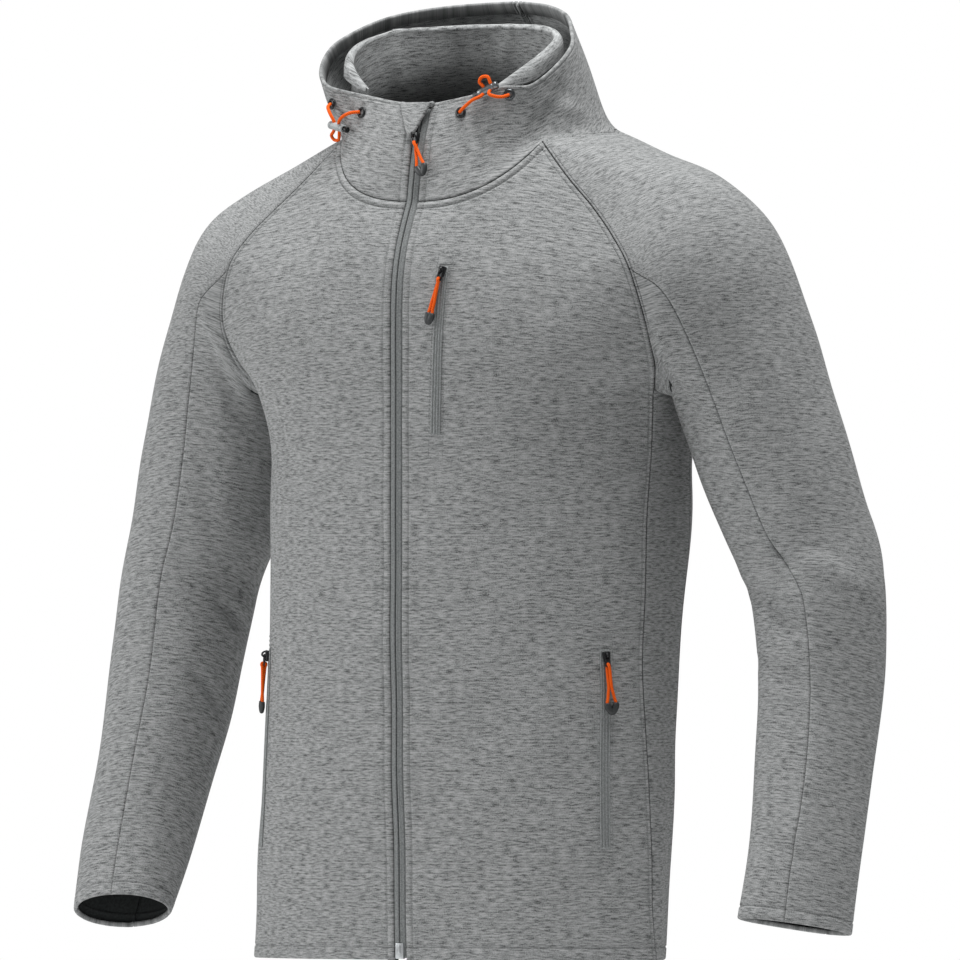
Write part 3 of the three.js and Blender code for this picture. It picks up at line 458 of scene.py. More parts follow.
def inner_grid(hood):
    """The hood's inner ring: up from inside the neck to the fold, over it and down into the hollow."""
    places = [(len(INNER_RING) - 1) * i / INNER_COLUMNS for i in range(INNER_COLUMNS + 1)]
    tops = [smooth_point(INNER_RING, place) for place in places]
    feet = [hood_inside(top, hood) for top in tops]
    rows = []
    for inward, up in INNER_RISE:
        share = vec(inward, inward, up)
        rows.append([foot + (top - foot) * share for foot, top in zip(feet, tops)])
    for out_share, drop_share in INNER_LIP_STEPS:
        row = []
        for i, top in enumerate(tops):
            out = unit(vec(top[0], top[1], 0))
            from_end = min(i, INNER_COLUMNS - i)
            lip = INNER_LIP["least"] + (1 - INNER_LIP["least"]) * min(1, from_end / INNER_LIP["columns"])
            drop = vec(0, 0, -INNER_LIP["drop"] * drop_share * lip)
            row.append(top + out * INNER_LIP["out"] * out_share * lip + drop)
        rows.append(row)
    return np.array(rows)


def mirrored(grid):
    return grid * np.array((-1, 1, 1))


# From the tables' points to fine cloth
def span_weights(count, steps):
    """Weights that pass a smooth line through a number of points, at a number of steps in each span."""
    places = np.linspace(0, count - 1, (count - 1) * steps + 1)
    weights = np.zeros((len(places), count + 2))
    for row, place in enumerate(places):
        i = min(int(place), count - 2)
        f = place - i
        weights[row, i : i + 4] += (
            0.5 * (2 * f * f - f - f**3),
            0.5 * (2 - 5 * f * f + 3 * f**3),
            0.5 * (f + 4 * f * f - 3 * f**3),
            0.5 * (f**3 - f * f),
        )
    weights[:, 1] += 2 * weights[:, 0]
    weights[:, 2] -= weights[:, 0]
    weights[:, -2] += 2 * weights[:, -1]
    weights[:, -3] -= weights[:, -1]
    return weights[:, 1:-1]


def fine(grid, steps=FINE):
    """The same sheet with more rows and columns, smooth through the same points."""
    down = span_weights(grid.shape[0], steps)
    across = span_weights(grid.shape[1], steps)
    return np.einsum("ir,jc,rcx->ijx", down, across, grid)


def relaxed(grid, times):
    """The same sheet with small kinks smoothed out, its edges kept."""
    grid = grid.copy()
    for _ in range(times):
        inside = grid[:-2, 1:-1] + grid[2:, 1:-1] + grid[1:-1, :-2] + grid[1:-1, 2:]
        grid[1:-1, 1:-1] = grid[1:-1, 1:-1] * 0.5 + inside * 0.125
    return grid


def fit_edge(grid, axis, first, target, reach=12):
    """Moves one edge of a sheet onto its neighbour's edge, and the lines behind it ever less."""
    lines = np.moveaxis(grid, axis, 0)
    if not first:
        lines = lines[::-1]
    gap = target - lines[0]
    for k in range(min(reach, len(lines))):
        lines[k] += gap * (1 - k / reach) ** 2


def face_normals(grid, facing):
    """The normals of a sheet at its points."""
    normal = np.cross(np.gradient(grid, axis=1), np.gradient(grid, axis=0)) * facing
    return normal / np.maximum(np.linalg.norm(normal, axis=-1, keepdims=True), 1e-9)


def edge_places(shape):
    """The row and column of each point on a sheet's four edges."""
    rows, columns = shape[:2]
    places = [(r, c) for r in (0, rows - 1) for c in range(columns)]
    return places + [(r, c) for c in (0, columns - 1) for r in range(1, rows - 1)]


def share_normals(sheets):
    """Gives the points where sheets are sewn together one normal."""
    sums = {}
    for sheet in sheets:
        for r, c in edge_places(sheet["grid"].shape):
            key = tuple(np.round(sheet["grid"][r, c], 2))
            sums[key] = sums.get(key, 0) + sheet["normals"][r, c]
    for sheet in sheets:
        for r, c in edge_places(sheet["grid"].shape):
            sheet["normals"][r, c] = unit(sums[tuple(np.round(sheet["grid"][r, c], 2))])


coarse_front = front_grid()
coarse_back = back_grid()
coarse_side = side_grid(coarse_front, coarse_back)
ring = armhole(coarse_front, coarse_back, coarse_side)
neck = [*coarse_front[-1], *(vec(*p) for p in NECK_SIDE), *coarse_back[-1, : FRONT_COLUMNS + 1]]
coarse_hood = {side: hood_grid(neck, side) for side in ("left", "right")}

front = relaxed(fine(coarse_front), 8)
back = relaxed(fine(coarse_back), 8)
side_panel = fine(coarse_side)
fit_edge(side_panel, 1, True, front[: BODY_ROWS * FINE + 1, -1])
fit_edge(side_panel, 1, False, back[: BODY_ROWS * FINE + 1, 0])
side_panel = relaxed(side_panel, 4)


def sewn_sleeve(side):
    """A fine sleeve whose armhole edge is the fronts', side's and back's own."""
    sleeve = fine(sleeve_grid(ring, side))
    edge = sleeve[0].copy()
    arm_cells = UPPER_ROWS * FINE
    start = 2 * FINE
    edge[start : start + arm_cells + 1] = front[BODY_ROWS * FINE :, -1][::-1]
    start += arm_cells
    edge[start : start + SIDE_COLUMNS * FINE + 1] = side_panel[-1]
    start += SIDE_COLUMNS * FINE
    edge[start : start + arm_cells + 1] = back[BODY_ROWS * FINE :, 0]
    fit_edge(sleeve, 0, True, edge)
    closed = np.concatenate([sleeve[:, -5:-1], sleeve, sleeve[:, 1:5]], axis=1)
    return relaxed(closed, 4)[:, 4:-4]


def sewn_hood(side, sleeve):
    """A fine half of the hood whose neck edge is the body's own."""
    half = fine(coarse_hood[side])
    cells = FRONT_COLUMNS * FINE
    over = [sleeve[0, : 2 * FINE + 1][::-1], sleeve[0, -2 * FINE - 1 : -1][::-1]]
    fit_edge(half, 0, True, np.concatenate([front[-1, :-1], *over, back[-1, 1 : cells + 1]]), 30)
    return relaxed(half, 6)


sleeves = {side: sewn_sleeve(side) for side in ("left", "right")}
hood = {side: sewn_hood(side, sleeves[side]) for side in ("left", "right")}
inner_ring = relaxed(fine(inner_grid(coarse_hood), 6), 2)

branch = (2 + UPPER_ROWS - BRANCH_ROW) * FINE


def upper_part(sleeve):
    return np.concatenate([sleeve[:, -1 - branch : -1], sleeve[:, : branch + 1]], axis=1)


def under_part(sleeve):
    return sleeve[:, branch : sleeve.shape[1] - branch]


sleeve_upper = {"left": upper_part(sleeves["left"]), "right": mirrored(upper_part(sleeves["right"]))}
sleeve_under = {"left": under_part(sleeves["left"]), "right": mirrored(under_part(sleeves["right"]))}


# Creases: soft troughs (depth below 0) and ridges, from start over bend to end, with the half width of each
CREASES = table(
    "part start bend end width depth",
    ("sleeve_left", (288, 6, -376), (333, -33, -400), (361, -32, -428), 7, -6.8),
    ("sleeve_left", (290, 4, -362), (322, -30, -380), (350, -32, -398), 9, 2.6),
    ("sleeve_left", (300, 4, -444), (342, -36, -459), (368, -33, -474), 6, -3.8),
    ("sleeve_left", (350, -30, -354), (380, -13, -366), (402, 20, -386), 10, 3.6),
    ("sleeve_left", (318, -36, -336), (337, -33, -352), (354, -29, -366), 4.5, -3.6),
    ("sleeve_left", (226, -62, -168), (243, -55, -207), (262, -44, -250), 11, -5),
    ("sleeve_left", (262, -47, -238), (294, -39, -300), (330, -34, -344), 11, -2.8),
    ("sleeve_left", (300, -56, -130), (326, -34, -180), (336, -16, -240), 14, 2.0),
    ("sleeve_left", (334, -64, -600), (364, -66, -616), (392, -54, -626), 8, -2.2),
    ("sleeve_left", (338, 84, -326), (354, 74, -368), (346, 56, -412), 9, -3.8),
    ("sleeve_left", (356, 80, -300), (372, 70, -332), (376, 50, -372), 12, 2.6),
    ("sleeve_left", (226, 52, -178), (250, 66, -214), (268, 74, -256), 9, -3.4),
    ("sleeve_right", (-306, -24, -448), (-293, 4, -482), (-294, 30, -508), 5.5, -5.6),
    ("sleeve_right", (-286, -10, -390), (-279, 20, -409), (-288, 48, -428), 6, -6.8),
    ("sleeve_right", (-250, -80, -146), (-242, -57, -193), (-240, -30, -232), 9, -4.1),
    ("sleeve_right", (-262, -56, -250), (-276, -34, -300), (-284, -14, -352), 11, -2.4),
    ("sleeve_right", (-338, 84, -330), (-354, 74, -366), (-346, 56, -408), 9, -3.6),
    ("sleeve_right", (-228, 52, -176), (-250, 66, -210), (-270, 74, -262), 9, -3.4),
    ("body", (213, -48, -206), (203, -55, -226), (190, -62, -268), 8, -3.6),
    ("body", (212, -48, -186), (196, -64, -200), (168, -88, -224), 9, -5.5),
    ("body", (206, -40, -236), (199, -50, -290), (192, -60, -350), 11, 1.6),
    ("body", (-176, -94, -212), (-158, -101, -231), (-132, -112, -268), 9, -2.9),
    ("body", (203, -52, -552), (198, -66, -588), (193, -74, -622), 7, -2.5),
    ("body", (30, -147, -520), (84, -140, -500), (138, -118, -488), 20, -1.6),
    ("body", (-150, -106, -470), (-96, -132, -500), (-36, -146, -512), 20, -1.6),
    ("body", (196, 70, -200), (176, 92, -236), (140, 112, -290), 11, -3.4),
    ("body", (-196, 70, -204), (-172, 94, -246), (-138, 112, -300), 11, -3.4),
    ("body", (-118, 100, -430), (-30, 116, -452), (60, 112, -440), 20, 2.5),
    ("body", (126, 88, -520), (34, 98, -546), (-70, 92, -534), 18, -2.7),
    ("hood", (-99, -79, 62), (-89, -84, 48), (-78, -89, 37), 4, -2.2),
    ("hood", (88, -84, 12), (105, -56, 44), (110, -30, 78), 9, -2.9),
    ("hood", (118, 0, 40), (112, -40, 52), (97, -71, 58), 7, 1.7),
    ("hood", (110, 44, 40), (70, 82, 66), (20, 92, 82), 12, -3.2),
    ("hood", (-122, 30, 44), (-92, 76, 62), (-34, 94, 88), 12, -2.9),
    ("inner", (-86, -14, 126), (-92, -8, 96), (-96, 0, 62), 5, -3.2),
    ("inner", (8, 30, 126), (2, 34, 106), (-8, 44, 82), 6, -3.2),
    ("inner", (-40, 20, 126), (-44, 30, 98), (-50, 44, 64), 9, 2.3),
)


CREASE_STEPS = 13
CLOTH_POINTS = {
    "sleeve_left": sleeves["left"].reshape(-1, 3),
    "sleeve_right": mirrored(sleeves["right"]).reshape(-1, 3),
    "body": np.concatenate([
        sheet.reshape(-1, 3) for sheet in (front, mirrored(front), side_panel, mirrored(side_panel), back)
    ]),
    "hood": np.concatenate([hood["left"].reshape(-1, 3), mirrored(hood["right"]).reshape(-1, 3)]),
    "inner": inner_ring.reshape(-1, 3),
}


def laid_on_cloth(crease):
    """The crease's way as points on the cloth: a bend through its three points, laid on what is nearest."""
    start, bend, end = (np.array(crease[key], float) for key in ("start", "bend", "end"))
    t = np.linspace(0, 1, CREASE_STEPS)[:, None]
    guide = (1 - t) * (1 - 2 * t) * start + 4 * t * (1 - t) * bend + t * (2 * t - 1) * end
    cloth = CLOTH_POINTS[crease["part"]]
    line = np.array([cloth[np.linalg.norm(cloth - point, axis=1).argmin()] for point in guide])
    line[1:-1] = (line[:-2] + 2 * line[1:-1] + line[2:]) / 4
    return line


for crease in CREASES:
    crease["line"] = laid_on_cloth(crease)


def near_line(points, line):
    """The distance of points from a line, and how far along it each lies, from 0 to 1."""
    best = np.full(points.shape[:-1], 1e9)
    along = np.zeros(points.shape[:-1])
    for k, (a, b) in enumerate(zip(line, line[1:])):
        share = np.clip(((points - a) @ (b - a)) / max((b - a) @ (b - a), 1e-6), 0, 1)
        distance = np.linalg.norm(points - a - share[..., None] * (b - a), axis=-1)
        nearer = distance < best
        best = np.where(nearer, distance, best)
        along = np.where(nearer, (k + share) / (len(line) - 1), along)
    return best, along


def relief(points, part):
    """How far the cloth stands out or in at its points: the creases and a slight unevenness."""
    height = np.zeros(points.shape[:-1])
    for crease in CREASES:
        if crease["part"] != part:
            continue
        distance, along = near_line(points, crease["line"])
        fade = np.sin(np.pi * np.clip(along, 0.02, 0.98)) ** 0.7
        height += crease["depth"] * np.exp(-((distance / crease["width"]) ** 2)) * fade
    # Two slow waves, under a millimetre each, keep worn cloth from being perfectly even
    x, y, z = (points[..., k] for k in range(3))
    height += 0.7 * np.sin(x / 31 + z / 47 + 1.3) * np.sin(y / 37 - z / 29)
    height += 0.45 * np.sin(x / 17 - z / 23 + y / 41)
    return height


# Edge finishes: the cloth's dip at distances from the edge, where the stitches lie, and how much is
# turned in
SEAM_DIP = [(0, -2.0), (0.7, -0.9), (1.6, 0.25), (3.4, 0.3), (4.2, -0.7), (4.8, -0.7), (5.6, 0), (7, 0)]
FLAT_SEAM_DIP = [(0, -1.1), (0.7, -0.5), (1.5, 0), (3, 0)]
NECK_DIP = [
    (0, -2.2), (0.8, -0.9), (1.6, 0.2), (4, 0.5), (5.8, 0.2), (6.6, -0.9),
    (7.2, -1.1), (7.8, -0.9), (8.8, 0), (10, 0),
]
PLACKET_DIP = [(0, -0.4), (0.8, 0.1), (4.6, 0.25), (5.5, -0.6), (6.2, -0.9), (6.9, -0.6), (7.8, 0.05), (9, 0)]
HEM_DIP = [(0, -0.4), (1, 0), (9.3, 0.2), (10.2, -0.5), (10.8, -0.8), (11.4, -0.5), (12.3, 0.05), (14, 0)]
RIM_DIP = [(0, -0.3), (0.8, 0), (1.9, 0.1), (2.8, -0.6), (3.7, 0.05), (5, 0)]
# A turned edge, as how far it goes out and how deep, and the depth at which it ends inside
FOLD_STEPS = [(0.45, 0.3), (0.75, 1.0), (0.7, 2.0), (0.2, 2.8), (-1.5, 3.3)]
FOLD_END = 3.5
FINISHES = {
    "seam": {"dip": SEAM_DIP, "stitches": [4.2], "fold": 0},
    "plain": {"dip": FLAT_SEAM_DIP, "stitches": [], "fold": 0},
    "neck": {"dip": NECK_DIP, "stitches": [7.2], "fold": 0},
    "placket": {"dip": PLACKET_DIP, "stitches": [6.2], "fold": 8},
    "hem": {"dip": HEM_DIP, "stitches": [10.8], "fold": 14},
    "cuff": {"dip": HEM_DIP, "stitches": [10.8], "fold": 3},
    "rim": {"dip": RIM_DIP, "stitches": [2.8], "fold": 12},
    "flap": {"dip": [(0, -0.2), (0.8, 0), (1.6, 0.05)], "stitches": [], "fold": 1.5},
}


def run_along(lines):
    """The length covered from the first line to each line, at each place along the lines."""
    step = np.linalg.norm(np.diff(lines[..., :3], axis=0), axis=-1)
    return np.concatenate([np.zeros((1, step.shape[1])), np.cumsum(step, axis=0)])


def relined(data, axis, first, last):
    """The same sheet with lines at exact distances from two opposite edges, and its own between them."""
    lines = np.moveaxis(data, axis, 0)
    run = run_along(lines)
    total = run[-1]
    squeeze = (total - first[-1] - last[-1]) / total
    wanted = [np.full_like(total, d) for d in first]
    wanted += [first[-1] + squeeze * run[i] for i in range(1, len(lines) - 1)]
    wanted += [total - d for d in reversed(last)]
    wanted = np.array(wanted)
    out = np.empty((len(wanted), *lines.shape[1:]))
    for j in range(lines.shape[1]):
        for k in range(lines.shape[2]):
            out[:, j, k] = np.interp(wanted[:, j], run[:, j], lines[:, j, k])
    return np.moveaxis(out, 0, axis)


def dipped(data, axis, first, last):
    """Presses the seams and stitch lines of two opposite edges into the cloth."""
    lines = np.moveaxis(data, axis, 0)
    run = run_along(lines)
    depth = np.interp(run, *zip(*first)) * (run <= first[-1][0])
    rest = run[-1] - run
    depth = depth + np.interp(rest, *zip(*last)) * (rest <= last[-1][0])
    lines[..., :3] += lines[..., 3:6] * depth[..., None]


def folded(data, axis, at_first, depth):
    """The sheet with its edge turned over and led back inside."""
    lines = np.moveaxis(data, axis, 0)
    if at_first:
        lines = lines[::-1]
    edge = lines[-1]
    out = edge[:, :3] - lines[-4, :, :3]
    out -= edge[:, 3:6] * (out * edge[:, 3:6]).sum(axis=-1, keepdims=True)
    out /= np.maximum(np.linalg.norm(out, axis=-1, keepdims=True), 1e-6)
    added = []
    for ahead, deep in [*FOLD_STEPS, (-depth, FOLD_END)]:
        line = edge.copy()
        line[:, :3] += out * ahead - edge[:, 3:6] * deep
        added.append(line)
    lines = np.concatenate([lines, np.array(added)])
    if at_first:
        lines = lines[::-1]
    return np.moveaxis(lines, 0, axis)


def cloth_map(grid, kind):
    """Where each point lies on the flat cloth, in metres: across the streaks' way and up the piece."""
    across = run_along(np.moveaxis(grid, 1, 0)).T
    if kind == "body":
        step = np.diff(grid, axis=0)
        up = np.sign(step[..., 2]) * np.hypot(step[..., 1], step[..., 2])
        up = np.concatenate([np.zeros((1, grid.shape[1])), np.cumsum(up, axis=0)])
    else:
        up = run_along(grid)
        up = up - up[-1]
    middle = across[:, across.shape[1] // 2][:, None]
    return np.stack([(across - middle) * MM, up * MM], axis=-1)


# Meshes
def placed(x_way, y_way, z_way, at):
    """A matrix made of its three columns and its place."""
    matrix = Matrix.Identity(4)
    for k, column in enumerate((x_way, y_way, z_way, at)):
        for r in range(3):
            matrix[r][k] = column[r]
    return matrix


def grid_mesh(points, maps=None, facing=1, wrap=False):
    """A sheet of quads at a grid of points, in millimetres, with its place on the flat cloth as UV."""
    rows, columns = points.shape[:2]
    mesh = bmesh.new()
    bmesh.ops.create_grid(mesh, x_segments=columns - 1, y_segments=rows - 1, size=0.5)
    mesh.verts.ensure_lookup_table()
    where = []
    for vert in mesh.verts:
        r = round((vert.co.y + 0.5) * (rows - 1))
        c = round((vert.co.x + 0.5) * (columns - 1))
        where.append((r, c))
    for vert, (r, c) in zip(mesh.verts, where):
        vert.co = Vector(points[r, c]) * MM
    layer = mesh.loops.layers.uv.new("UVMap")
    if maps is not None:
        for face in mesh.faces:
            for loop in face.loops:
                r, c = where[loop.vert.index]
                loop[layer].uv = maps[r, c]
    if wrap:
        bmesh.ops.remove_doubles(mesh, verts=mesh.verts, dist=1e-7)
    if facing < 0:
        bmesh.ops.reverse_faces(mesh, faces=mesh.faces)
    mesh.normal_update()
    return mesh


def add_piece(name, mesh, materials, body="jacket", replaces=(), crisp=False):
    """Makes a finished piece of a mesh, riding on a body."""
    data = bpy.data.meshes.new(name)
    mesh.to_mesh(data)
    mesh.free()
    piece = bpy.data.objects.new(name, data)
    bpy.context.scene.collection.objects.link(piece)
    for material in materials if isinstance(materials, (list, tuple)) else [materials]:
        data.materials.append(material)
    data.shade_smooth()
    if crisp:
        data.set_sharp_from_angle(angle=35 * RAD)
    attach(piece, body)
    if replaces:
        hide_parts(*replaces)
    return piece


def add_wall(piece, thickness, inside=0):
    """Gives a sheet its thickness, inwards, with its own material on the inner face."""
    wall = piece.modifiers.new("wall", "SOLIDIFY")
    wall.thickness = thickness * MM
    wall.offset = -1
    wall.material_offset = inside
    wall.material_offset_rim = inside
    return wall


# Materials
def linear(hex_colour):
    """A linear colour from an sRGB hex value."""
    def channel(text):
        value = int(text, 16) / 255
        return value / 12.92 if value <= 0.04045 else ((value + 0.055) / 1.055) ** 2.4

    return (*(channel(hex_colour[k : k + 2]) for k in (0, 2, 4)), 1)


def add_node(tree, kind, links=None, **settings):
    """Adds a node: settings by property or input name, links by input name from another node's output."""
    node = tree.nodes.new(kind)
    for key, value in settings.items():
        if hasattr(node, key):
            setattr(node, key, value)
        else:
            node.inputs[key.replace("_", " ")].default_value = value
    for key, source in (links or {}).items():
        tree.links.new(source, node.inputs[key])
    return node


def new_material(name):
    """An empty material with its shader and output, and its tree and shader."""
    material = bpy.data.materials.new(name)
    material.use_nodes = True
    tree = material.node_tree
    return material, tree, tree.nodes["Principled BSDF"]


def stops(ramp, *colours):
    """Sets a ramp's stops, as places and sRGB hex values."""
    elements = ramp.color_ramp.elements
    while len(elements) < len(colours):
        elements.new(0.5)
    for element, (place, colour) in zip(elements, colours):
        element.position = place
        element.color = linear(colour)


# The knit's marks in metres, drawn coarser than the real ones so that they show
STREAK_LONG = 0.0085
STREAK_HIGH = 0.0015
CLOUD_LONG = 0.034
CLOUD_HIGH = 0.006
GRAIN = 0.0011
STITCH_PITCH = 0.0016
CLOUD_SHARE = 0.2
GRAIN_SHARE = 0.32
TONE_STOPS = (0.37, 0.475, 0.6)


def heather_knit(name, dark, middle, light, sheen):
    """Brushed jersey face of a softshell, knitted of dark and light yarns: short level streaks, matt."""
    material, tree, shader = new_material(name)
    place = add_node(tree, "ShaderNodeTexCoord").outputs["UV"]
    layers = []
    for long, high, detail in ((STREAK_LONG, STREAK_HIGH, 4), (CLOUD_LONG, CLOUD_HIGH, 2), (GRAIN, GRAIN, 1)):
        spot = add_node(tree, "ShaderNodeMapping", {"Vector": place}, Scale=(1 / long, 1 / high, 1))
        noise = add_node(tree, "ShaderNodeTexNoise", {"Vector": spot.outputs[0]}, Scale=1, Detail=detail)
        layers.append(noise.outputs["Fac"])
    streaks, clouds, grain = layers
    uneven = add_node(tree, "ShaderNodeMix", {"A": streaks, "B": clouds}, Factor=CLOUD_SHARE)
    toned = {"A": uneven.outputs["Result"], "B": grain}
    both = add_node(tree, "ShaderNodeMix", toned, Factor=GRAIN_SHARE)
    ramp = add_node(tree, "ShaderNodeValToRGB", {"Fac": both.outputs["Result"]})
    stops(ramp, *zip(TONE_STOPS, (dark, middle, light)))
    tree.links.new(ramp.outputs["Color"], shader.inputs["Base Color"])
    knit_place = add_node(
        tree, "ShaderNodeMapping", {"Vector": place}, Scale=(1 / STITCH_PITCH, 1 / STITCH_PITCH, 1)
    )
    knit = add_node(tree, "ShaderNodeTexNoise", {"Vector": knit_place.outputs[0]}, Scale=1, Detail=2)
    relief_node = add_node(
        tree, "ShaderNodeBump", {"Height": knit.outputs["Fac"]}, Strength=0.35, Distance=0.0004
    )
    tree.links.new(relief_node.outputs["Normal"], shader.inputs["Normal"])
    shader.inputs["Roughness"].default_value = 0.92
    shader.inputs["Sheen Weight"].default_value = sheen
    shader.inputs["Sheen Roughness"].default_value = 0.5
    return material


def plain_finish(name, colour, other, rough, metal=0.0, grain=0.0008, depth=0.00008):
    """A moulded, cast or woven trim finish: two close tones and a fine grain."""
    material, tree, shader = new_material(name)
    place = add_node(tree, "ShaderNodeTexCoord").outputs["Object"]
    spots = add_node(tree, "ShaderNodeTexNoise", {"Vector": place}, Scale=1 / grain, Detail=2)
    ramp = add_node(tree, "ShaderNodeValToRGB", {"Fac": spots.outputs["Fac"]})
    stops(ramp, (0.35, colour), (0.65, other))
    tree.links.new(ramp.outputs["Color"], shader.inputs["Base Color"])
    bump = add_node(tree, "ShaderNodeBump", {"Height": spots.outputs["Fac"]}, Strength=0.3, Distance=depth)
    tree.links.new(bump.outputs["Normal"], shader.inputs["Normal"])
    shader.inputs["Roughness"].default_value = rough
    shader.inputs["Metallic"].default_value = metal
    return material


def braided_cord(name, dark, light, turn_length, around):
    """Braided polyester cord: slanting strands that cross, seen as small diamonds."""
    material, tree, shader = new_material(name)
    place = add_node(tree, "ShaderNodeTexCoord").outputs["UV"]
    heights = []
    for slant in (1, -1):
        turned = add_node(
            tree, "ShaderNodeMapping", {"Vector": place},
            Scale=(around, slant / turn_length, 1), Rotation=(0, 0, slant * math.pi / 4),
        )
        wave = add_node(tree, "ShaderNodeTexWave", {"Vector": turned.outputs[0]}, Scale=1)
        heights.append(wave.outputs["Fac"])
    both = add_node(tree, "ShaderNodeMath", {0: heights[0], 1: heights[1]}, operation="MAXIMUM")
    ramp = add_node(tree, "ShaderNodeValToRGB", {"Fac": both.outputs[0]})
    stops(ramp, (0.2, dark), (0.75, light))
    tree.links.new(ramp.outputs["Color"], shader.inputs["Base Color"])
    bump = add_node(tree, "ShaderNodeBump", {"Height": both.outputs[0]}, Strength=0.5, Distance=0.0003)
    tree.links.new(bump.outputs["Normal"], shader.inputs["Normal"])
    shader.inputs["Roughness"].default_value = 0.7
    shader.inputs["Specular IOR Level"].default_value = 0.2
    return material


FACE = heather_knit("heather_jersey_face", "434444", "7b7d7d", "9c9d9d", 0.05)
# Painted light: the hood's inside is the same heather as the face, coloured lighter to stand in for light that
# its shaded hollow doesn't get
HOOD_INSIDE_PAINTED_LIGHT = heather_knit("heather_jersey_inside_painted_light", "484949", "898b8b", "abadad", 0.05)
FLEECE = plain_finish("bonded_fleece_dark", "191c1c", "262a2a", 0.95, grain=0.002, depth=0.0004)
THREAD = plain_finish("sewing_thread_grey", "707373", "868989", 0.8)
TAPE = plain_finish("woven_zip_tape_grey", "5f6262", "7c7f7f", 0.8, grain=0.0012)
STRIP_TAPE = plain_finish("woven_pocket_tape_grey", "707373", "8f9292", 0.85, grain=0.0012)
COIL = plain_finish("nylon_coil_grey", "2c2e2e", "3f4242", 0.5)
BLACK = plain_finish("black_enamelled_zinc", "121314", "1e2022", 0.35, 0.3)
RUBBER = plain_finish("moulded_soft_plastic_charcoal", "1d1f20", "2c2f30", 0.5)
GUNMETAL = plain_finish("gunmetal_plated_brass", "4a4d4f", "5c5f61", 0.3, 1.0)
SILVER = plain_finish("satin_nickel_plate", "b4b8ba", "c8cbcc", 0.3, 1.0)
PEWTER = plain_finish("satin_pewter_plate", "6f7375", "85898b", 0.35, 1.0)
PALE = plain_finish("grey_moulded_nylon", "8e9293", "a2a6a7", 0.45)
ORANGE = braided_cord("braided_polyester_orange", "c44402", "f06408", 0.004, 2)


# Stitches, drawn a little longer than the real ones so that they show
STITCH = {"pitch": 4.0, "long": 1.35, "thick": 0.36, "lift": 0.12}


def stitch_row(mesh, line, normals, pitch=STITCH["pitch"]):
    """Lays small stitches along a line on the cloth."""
    step = np.linalg.norm(np.diff(line, axis=0), axis=-1)
    run = np.concatenate([[0], np.cumsum(step)])
    for place in np.arange(pitch / 2, run[-1] - pitch / 2, pitch):
        centre, ahead, up = (
            vec(*(np.interp(at, run, values[:, k]) for k in range(3)))
            for at, values in ((place, line), (place + 1, line), (place, normals))
        )
        way = unit(ahead - centre)
        up = unit(up - way * (up @ way))
        side = np.cross(up, way)
        half, thick = STITCH["long"] * pitch / STITCH["pitch"], STITCH["thick"]
        centre = centre + up * STITCH["lift"]
        columns = (way * half, side * thick, up * thick, centre)
        matrix = placed(*(column * MM for column in columns))
        bmesh.ops.create_icosphere(mesh, subdivisions=1, radius=1, matrix=matrix)


# How each panel's edges are finished, in the order foot row, top row, first column, last column
FRONT_EDGES = ("hem", "neck", "placket", "seam")
SIDE_EDGES = ("hem", "seam", "plain", "plain")
BACK_EDGES = ("hem", "neck", "seam", "seam")
SLEEVE_EDGES = ("seam", "cuff", "plain", "plain")
HOOD_EDGES = ("plain", "rim", "placket", "seam")
FLAP_EDGES = ("flap", "flap", "flap", "flap")

# A panel's materials, and which of them its inner face has; the hood's inner face gets the face's heather made
# lighter, as painted light for the shade inside the hood
PANEL_FACES = [FACE, FLEECE, HOOD_INSIDE_PAINTED_LIGHT]
INNER_FACE = {"same": 0, "fleece": 1, "hood": 2}
PANELS = table(
    "name grid facing kind part edges inner",
    ("front_left", front, 1, "body", "body", FRONT_EDGES, "fleece"),
    ("front_right", mirrored(front), -1, "body", "body", FRONT_EDGES, "fleece"),
    ("side_left", side_panel, 1, "body", "body", SIDE_EDGES, "fleece"),
    ("side_right", mirrored(side_panel), -1, "body", "body", SIDE_EDGES, "fleece"),
    ("back", back, 1, "body", "body", BACK_EDGES, "fleece"),
    ("sleeve_upper_left", sleeve_upper["left"], 1, "sleeve", "sleeve_left", SLEEVE_EDGES, "fleece"),
    ("sleeve_under_left", sleeve_under["left"], 1, "sleeve", "sleeve_left", SLEEVE_EDGES, "fleece"),
    ("sleeve_upper_right", sleeve_upper["right"], -1, "sleeve", "sleeve_right", SLEEVE_EDGES, "fleece"),
    ("sleeve_under_right", sleeve_under["right"], -1, "sleeve", "sleeve_right", SLEEVE_EDGES, "fleece"),
    ("hood_left", hood["left"], 1, "hood", "hood", HOOD_EDGES, "hood"),
    ("hood_right", mirrored(hood["right"]), -1, "hood", "hood", HOOD_EDGES, "hood"),
)
for panel in PANELS:
    panel["normals"] = face_normals(panel["grid"], panel["facing"])
share_normals(PANELS)
SEWN_CLOTH = {}


